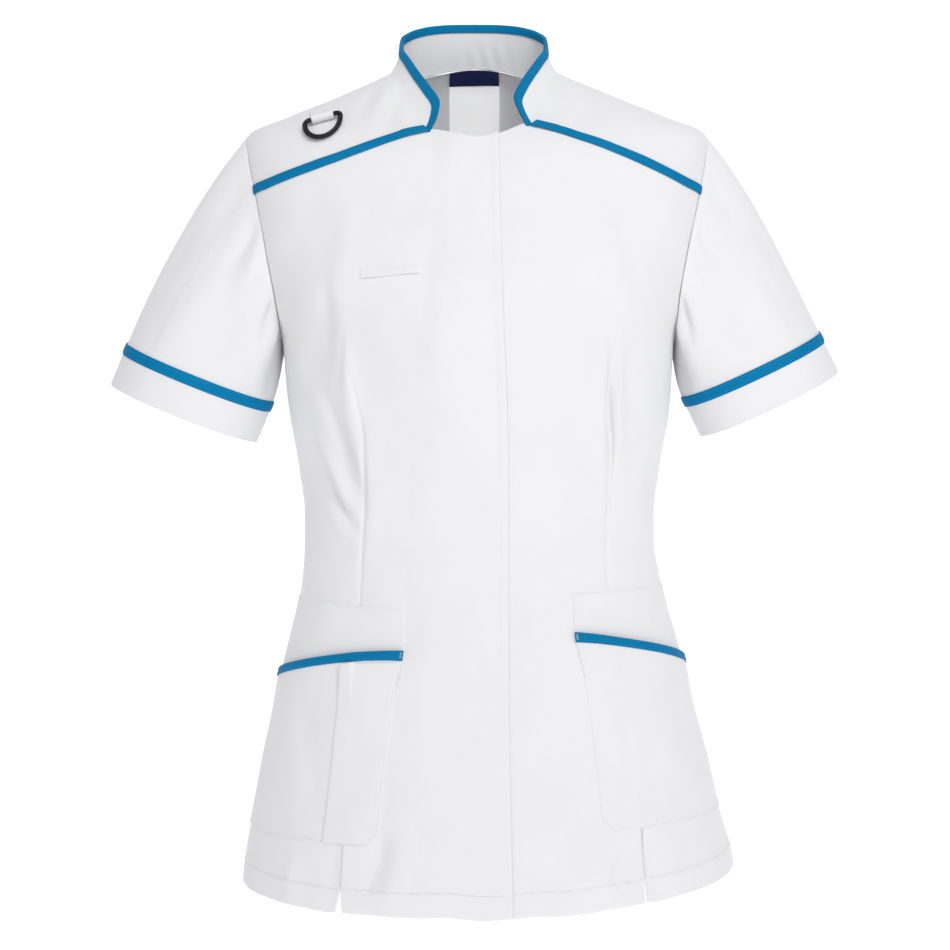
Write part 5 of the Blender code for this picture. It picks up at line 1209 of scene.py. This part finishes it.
# The stitching: lockstitch in white thread on the twill and in turquoise thread on the tapes, with a
# short bar of dense stitches at each vent and pocket corner. Each stitch dips into the cloth at its ends.

STITCH, STITCH_GAP, THREAD = 0.0024, 0.0005, 0.00022
STITCH_FACES = np.array([(0, 2, 1), (0, 3, 2), (0, 4, 3), (0, 1, 4), (5, 1, 2), (5, 2, 3), (5, 3, 4),
                         (5, 4, 1)])


def thread(name, colour):
    """Make a smooth, slightly glossy sewing thread."""
    made, tree, shader = new_finish(name, Roughness=0.5, Sheen_Weight=0.1)
    where, ply = add_node(tree, "TexCoord"), add_node(tree, "TexNoise", Scale=900.0)
    ramp = tone_ramp(tree, [c * 0.86 for c in colour], colour)
    join(tree, (where, "Object", ply, "Vector"), (ply, "Fac", ramp, "Fac"),
         (ramp, "Color", shader, "Base Color"))
    return made


def stitches(line, normals, out, size=THREAD, stitch=STITCH, gap=STITCH_GAP):
    """Return the six corners of each stitch in a row along a line, raised a little off the cloth."""
    along = lengths(line)
    starts = np.arange(gap, along[-1] - stitch, stitch + gap)
    head, tail, middle = (placed(starts + stitch * part, along, line) for part in (0.0, 1.0, 0.5))
    normal = unit(placed(starts + stitch / 2, along, normals))
    head, tail, middle = head + normal * (out - size), tail + normal * (out - size), middle + normal * out
    side_way = unit(np.cross(tail - head, normal))
    ring = [middle + way * size for way in (side_way, normal, -side_way, -normal)]
    return np.stack([head, *ring, tail], axis=1)


def sewn(name, rows, finish):
    """Make one mesh of all the stitch rows given, and let it ride with the garment."""
    corners = np.concatenate([stitches(*row) for row in rows])
    faces = STITCH_FACES + np.arange(len(corners))[:, None, None] * 6
    made = smooth_mesh(name, corners.reshape(-1, 3), faces.reshape(-1, 3), finish)
    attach(made, "garment")


def row_on(panel, rows, columns, out, lift=0.0):
    """Return a stitch row over a panel, on cloth that lies a lift above it."""
    points, normals = on_cloth(panel, rows, columns)
    return points + normals * np.reshape(lift, (-1, 1)), normals, out


def cell_size(panel, rows, columns, down=0, over=0):
    """Return how long the cells of a panel are at these places, down a row or over a column."""
    here, there = (on_cloth(panel, rows + k * down, columns + k * over)[0] for k in (0, 1))
    return np.linalg.norm(there - here, axis=1)


white_thread = thread("white_thread", (0.80, 0.80, 0.82))
turquoise_thread = thread("turquoise_thread", (0.01, 0.27, 0.52))
cuff_round = np.linspace(0, LOOP_CELLS, 300)
white_rows = []
for name, side in SIDES:
    form, yoke, sleeve, pocket = forms[name], yokes[name], sleeves[name], pockets[name]
    for low, high in ((0.04, DART_COLUMN - 0.2), (DART_COLUMN + 1.15, FRONT_COLUMNS)):
        columns = np.linspace(low, high, 160)
        lap = LAP_RISE * (1 - ease(FRONT_CELLS - 1.0, FRONT_CELLS, columns)) * (name == "right")
        white_rows.append(row_on(form, HEM / cell_size(form, 0.0, columns, down=1), columns, 0.0,
                                 0.0003 + lap))
    if name == "right":
        rows = np.linspace(0.3, FRONT_ROWS - 0.3, 400)
        columns = FRONT_FOLD / cell_size(form, rows, 0.0, over=1)
        white_rows.append(row_on(form, rows, columns, 0.0, LAP_RISE + 0.0001))
    white_rows += [row_on(form, np.linspace(0.25, VENT_TOP - 0.05, 60), DART_COLUMN + edge, 0.0001)
                   for edge in (-0.12, 1.07)]
    u, v = measured(pocket["points"])
    inner_at = np.argmin(np.abs(u[len(u) // 2] - POCKET_FOLD))
    low_at = np.argmin(np.abs(v[:, v.shape[1] // 2] - POCKET_FOLD))
    points, normals, lift = (
        np.concatenate([pocket[key][low_at, inner_at:][::-1], pocket[key][low_at + 1:, inner_at]])
        for key in ("points", "normals", "lift")
    )
    white_rows.append((points + normals * lift[:, None], normals, 0.0))
    white_rows += [
        row_on(form, POCKET_TOP - 0.09, np.linspace(FRONT_CELLS + 0.1, FRONT_COLUMNS, 120), 0.001),
        row_on(form, np.linspace(MOUTH + 0.2, POCKET_TOP - 0.1, 60), FRONT_CELLS + 0.12, 0.001),
    ]
    bar, bar_normals = on_cloth(form, VENT_TOP + 0.02, np.linspace(DART_COLUMN - 0.4, DART_COLUMN + 1.25, 12))
    white_rows += [(bar + (0, 0, shift), bar_normals, 0.0004, THREAD, *BAR_STITCH)
                   for shift in (-0.0006, 0.0, 0.0006)]
    white_rows.append(row_on(sleeve, SLEEVE_LENGTH - 0.1, cuff_round, 0.0004))
    white_rows += [row_on(yoke, YOKE_CELLS - row, np.linspace(0.1, SHOULDER_CELLS - 0.2, 150), 0.0001)
                   for row in (0.14, 0.32)]
    white_rows.append(row_on(yoke, np.linspace(YOKE_CELLS, COLLAR_ROWS - 0.1, 80), SHOULDER_CELLS + 0.16,
                             0.0001))
    tape_rows += [row_on(sleeve, SLEEVE_ROWS + row, cuff_round, TAPE + 0.0005) for row in (0.14, 0.86)]
for places in (np.s_[pen_hem_row], np.s_[:, pen_edge_column]):
    points, normals, lift = (grid[places] for grid in pen)
    white_rows.append((points + normals * lift[:, None], normals, 0.0003))
columns = np.linspace(0.05, BACK_COLUMNS - 0.05, 400)
white_rows.append(row_on(back, HEM / cell_size(back, 0.0, columns, down=1), columns, 0.0003))
sewn("white_stitching", white_rows, white_thread)
sewn("turquoise_stitching", tape_rows, turquoise_thread)
sewn("bar_tacks", mouth_bars, white_thread)

# The neck label: a woven navy band over a white satin care label, both folded in under the back neck seam
# and hanging free inside the back. Both are left bare. The satin's faint glow is painted light that brightens
# it inside the back.

LABEL_X, LABEL_WIDTH = -0.0025, 0.046
LABEL_TOP, LABEL_SPLIT, LABEL_BOTTOM = 0.0182, 0.0058, -0.04
LABEL_HANG, LABEL_BULGE = 0.0018, 0.0008
label_finishes = {
    "label_band": fabric("navy_label", (0.003, 0.012, 0.085), 0.5, 0.0006, twill=False, dirt=0.06, sheen=0.0),
    "label_care": fabric("white_label", (0.97, 0.97, 0.97), 0.45, 0.0005, dirt=0.01, sheen=0.5),
}
# Painted light: the care label's satin glows faintly to stand in for light falling on it inside the back.
satin = label_finishes["label_care"].node_tree.nodes["Principled BSDF"]
satin.inputs["Emission Color"].default_value = (1.0, 1.0, 1.0, 1)
satin.inputs["Emission Strength"].default_value = 0.27
yoke_columns = (SHOULDER_CELLS - 2) * FINE
upper_back = {key: back[key][-7 * FINE - 1:, yoke_columns: -yoke_columns] for key in ("points", "normals")}
up, over = np.linspace(0, 1, 24)[:, None], np.linspace(0, 1, 36)
hang = LABEL_HANG + CLOTH + LABEL_BULGE * np.sin(over * math.pi) * (1 - up)
for name, top, bottom, tall, slot_name in (
    ("label_band", LABEL_TOP, LABEL_SPLIT + 0.0003, 0.0115, "navy_label"),
    ("label_care", LABEL_SPLIT, LABEL_BOTTOM, 0.043, "white_label"),
):
    (_, a), (_, b), (_, c), (_, d) = (
        place_on(upper_back, LABEL_X + way * LABEL_WIDTH / 2, z) for z in (bottom, top) for way in (-1, 1)
    )
    row_low, row_high = (place_on(upper_back, LABEL_X, z)[0] for z in (bottom, top))
    columns = (a + (c - a) * up) * (1 - over) + (b + (d - b) * up) * over
    points, normals = on_cloth(upper_back, row_low + (row_high - row_low) * up, columns)
    cloth_piece("neck_" + name, name, points, normals, -hang, 0.0006, finish=label_finishes[name],
                slot=slot_name, flat=(LABEL_WIDTH, tall), held="hung", rests_on=["back_panel"])

# The key ring on the right shoulder: a black moulded D-ring that swings in a short folded loop of twill,
# which is laid on the yoke in front of the shoulder seam and sewn down with two rows across.

RING_X = -0.1327
RING_ROD, RING_SIDES = 0.0023, 20
RING_WIDTH, RING_HEIGHT, RING_CORNER = 0.0365, 0.0268, 0.004
LOOP_WIDTH, LOOP_DROP, LOOP_END = 0.019, 0.046, 0.029
LAY_GAP, WALL, LOOP_CLOTH = 0.0004, 0.0012, 0.001
LOOP_LINES, LOOP_POINTS = 18, 90


def ground_at(plan):
    """Return the point of the form under x and y, with the form's normal there."""
    ground = np.array([*plan, height_on_form(np.array([plan]))[0]])
    return ground, outward(ground)


def arc(centre, radii, start, end, count):
    """Return the points of a round stretch of the ring after its first one, in the ring's own plane."""
    turns = np.linspace(start, end, count)[1:]
    return np.array(centre) + np.stack([np.cos(turns), np.sin(turns)], axis=1) * radii


shoulder_y = ARMHOLE_YOKE[-1][1]
bar_plan = np.array([RING_X, shoulder_y - LOOP_DROP])
ground, bar_normal = ground_at(bar_plan)
bar_ends = [ground_at(bar_plan + (step, 0.0))[0] for step in (-0.01, 0.01)]
bar_way = unit(bar_ends[1] - bar_ends[0])
bar = ground + bar_normal * (2 * LAY_GAP + WALL + RING_ROD + 0.0006)
down = unit(np.cross(bar_way, bar_normal))
down = down if down[2] < 0 else -down
foot_ground, foot_normal = ground_at((bar + down * RING_HEIGHT)[:2])
down = unit(foot_ground + foot_normal * (RING_ROD + LAY_GAP + 0.003) - bar)
face = unit(np.cross(down, bar_way))
half, corner = RING_WIDTH / 2 - RING_ROD, RING_CORNER
path = np.vstack([
    [(a, 0.0) for a in np.linspace(corner - half, half - corner, 9)],
    arc((half - corner, corner), (corner, -corner), math.pi / 2, 0, 9),
    arc((0.0, corner), (half, RING_HEIGHT - 2 * RING_ROD - corner), 0, math.pi, 49),
    arc((corner - half, corner), (corner, corner), math.pi, 1.5 * math.pi, 9)[:-1],
])
ahead = unit(np.roll(path, -1, axis=0) - np.roll(path, 1, axis=0))
turns = np.arange(RING_SIDES) * 2 * math.pi / RING_SIDES
rod = np.stack([np.cos(turns), np.sin(turns)]) * (1 + 0.05 * np.cos(4 * turns)) * RING_ROD * 0.96
vertices = np.concatenate([
    bar + bar_way * a + down * b + (bar_way * db - down * da) * rod[0][:, None] + face * rod[1][:, None]
    for (a, b), (da, db) in zip(path, ahead)
])
i, j = (grid.ravel() for grid in np.meshgrid(np.arange(len(path)), np.arange(RING_SIDES), indexing="ij"))
i_next, j_next = (i + 1) % len(path) * RING_SIDES, (j + 1) % RING_SIDES
faces = np.stack([i * RING_SIDES + j, i * RING_SIDES + j_next, i_next + j_next, i_next + j], axis=1)
a, b, c, _ = np.moveaxis(vertices[faces] - bar, 1, 0)
if np.sum(a * np.cross(b, c)) < 0:
    faces = faces[:, ::-1]
plastic, tree, shader = new_finish("black_plastic", Specular_IOR_Level=0.28)
where = add_node(tree, "TexCoord")
grain, scuff = (add_node(tree, "TexNoise", Scale=scale) for scale in (2200.0, 160.0))
ramp = tone_ramp(tree, (0.005, 0.005, 0.006), (0.012, 0.012, 0.014))
gloss = add_node(tree, "MapRange", To_Min=0.30, To_Max=0.46)
bump = add_node(tree, "Bump", Strength=0.25, Distance=0.00004)
join(tree, (where, "Object", grain, "Vector"), (where, "Object", scuff, "Vector"),
     (scuff, "Fac", ramp, "Fac"), (ramp, "Color", shader, "Base Color"),
     (scuff, "Fac", gloss, "Value"), (gloss, "Result", shader, "Roughness"),
     (grain, "Fac", bump, "Height"), (bump, "Normal", shader, "Normal"))
key_ring = smooth_mesh("key_ring", vertices, faces, plastic)
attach(key_ring, "ring")
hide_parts("d_ring")

ground, _ = ground_at(np.array([RING_X, shoulder_y - LOOP_END]))
back_way = ground - bar
back_way = unit(back_way - bar_way * np.dot(back_way, bar_way))
rise_way = unit(np.cross(bar_way, back_way))
rise_way = rise_way if np.dot(rise_way, bar_normal) > 0 else -rise_way
across = bar_way * np.linspace(-LOOP_WIDTH / 2, LOOP_WIDTH / 2, LOOP_LINES)[:, None]
reach = (np.dot(ground - bar, back_way) * np.linspace(1, 0.55, 12))[:, None] * np.ones(LOOP_LINES)
spots = bar + back_way * reach[..., None] + across
height = halved(np.full(reach.shape, -RING_WIDTH), np.full(reach.shape, RING_WIDTH),
                lambda at: form_at(spots + rise_way * at[..., None]) < 1)
lie = np.stack([reach, height + LAY_GAP * 1.5 + WALL], axis=-1)
tilt = unit(np.gradient(lie, axis=0))
leaf = np.stack([tilt[..., 1], -tilt[..., 0]], axis=-1) * (LAY_GAP / 2 + WALL)
turns = np.radians(np.linspace(60, 300, 25))[:, None] * np.ones(LOOP_LINES)
round_bar = np.stack([np.cos(turns), np.sin(turns)], axis=-1) * (RING_ROD + LAY_GAP + WALL)
line = np.concatenate([lie + leaf, round_bar, (lie - leaf)[::-1]])
line = np.stack([smooth_line(line[:, k], LOOP_POINTS) for k in range(LOOP_LINES)], axis=1)
tangent = unit(np.gradient(line, axis=0))
out_way = np.stack([tangent[..., 1], -tangent[..., 0]], axis=-1)
if np.sum(out_way * (line - lie.mean(axis=(0, 1)))) < 0:
    out_way = -out_way
points, normals = (flat[..., :1] * back_way + flat[..., 1:] * rise_way for flat in (line, out_way))
points = bar + points + across
cloth_piece("key_ring_loop", "ring_loop", points, normals, 0.0, LOOP_CLOTH, flat=(0.019, 0.047),
            held="folded", rests_on=["yoke_and_collar_right"])
sewn("loop_stitching", [(points[row, 1:-1], normals[row, 1:-1], 0.0002) for row in (3, 16)], white_thread)

# The studio: a plain pale sweep under and behind the tunic, one large soft light in front of it from
# above, weaker ones overhead and at the sides, and a camera at the tunic's middle height.

CAMERA_HEIGHT = -0.353
CAMERA_DISTANCE = 1.95
FLOOR, SWEEP_START, SWEEP_RADIUS = -1.25, 1.2, 1.4

bend = [(SWEEP_START + SWEEP_RADIUS * math.sin(a), FLOOR + SWEEP_RADIUS * (1 - math.cos(a)))
        for a in np.linspace(0, math.pi / 2, 16)]
sweep_line = [(-4.0, FLOOR), *bend, (SWEEP_START + SWEEP_RADIUS, 4.0)]
vertices = [(x, y, z) for y, z in sweep_line for x in (-6.0, 6.0)]
faces = [(2 * i, 2 * i + 1, 2 * i + 3, 2 * i + 2) for i in range(len(sweep_line) - 1)]
paper, _, _ = new_finish("studio_paper", Base_Color=(0.93, 0.93, 0.93, 1), Roughness=0.9,
                         Emission_Color=(1, 1, 1, 1), Emission_Strength=0.45)
smooth_mesh("studio_sweep", vertices, faces, paper)

world = bpy.data.worlds.new("studio_air")
bpy.context.scene.world = world
world.use_nodes = True
air = world.node_tree.nodes["Background"]
air.inputs["Color"].default_value = (1.0, 1.0, 1.0, 1)
air.inputs["Strength"].default_value = 0.42


def soft_light(name, place, aim, size, watts):
    """Hang one large square light that looks at a point."""
    lamp = bpy.data.lights.new(name, "AREA")
    lamp.shape = "RECTANGLE"
    lamp.size, lamp.size_y = size
    lamp.energy = watts
    made = set_out(name, lamp)
    made.location = place
    away = unit(np.array(place) - np.array(aim))
    made.rotation_euler = (math.acos(away[2]), 0.0, math.atan2(away[1], away[0]) + math.pi / 2)


soft_light("front_light", (0.55, -2.3, 1.5), (0.0, 0.0, -0.28), (1.6, 1.4), 41.0)
soft_light("top_light", (0.0, -0.7, 1.6), (0.0, 0.0, 0.0), (1.2, 1.2), 2.7)
soft_light("left_light", (-2.2, -1.0, 0.1), (0.0, 0.0, -0.35), (1.2, 1.8), 0.8)
soft_light("right_light", (2.2, -0.8, 0.3), (0.0, 0.0, -0.35), (1.2, 1.8), 1.2)

lens = bpy.data.cameras.new("front_camera")
lens.sensor_width = 36.0
lens.lens = 36.0 * 2194 / 950
camera = set_out("front_camera", lens)
camera.location = (-0.0018, -CAMERA_DISTANCE, CAMERA_HEIGHT)
camera.rotation_euler = (math.pi / 2, 0.0, 0.0)
bpy.context.scene.camera = camera
bpy.context.scene.view_settings.view_transform = "Standard"
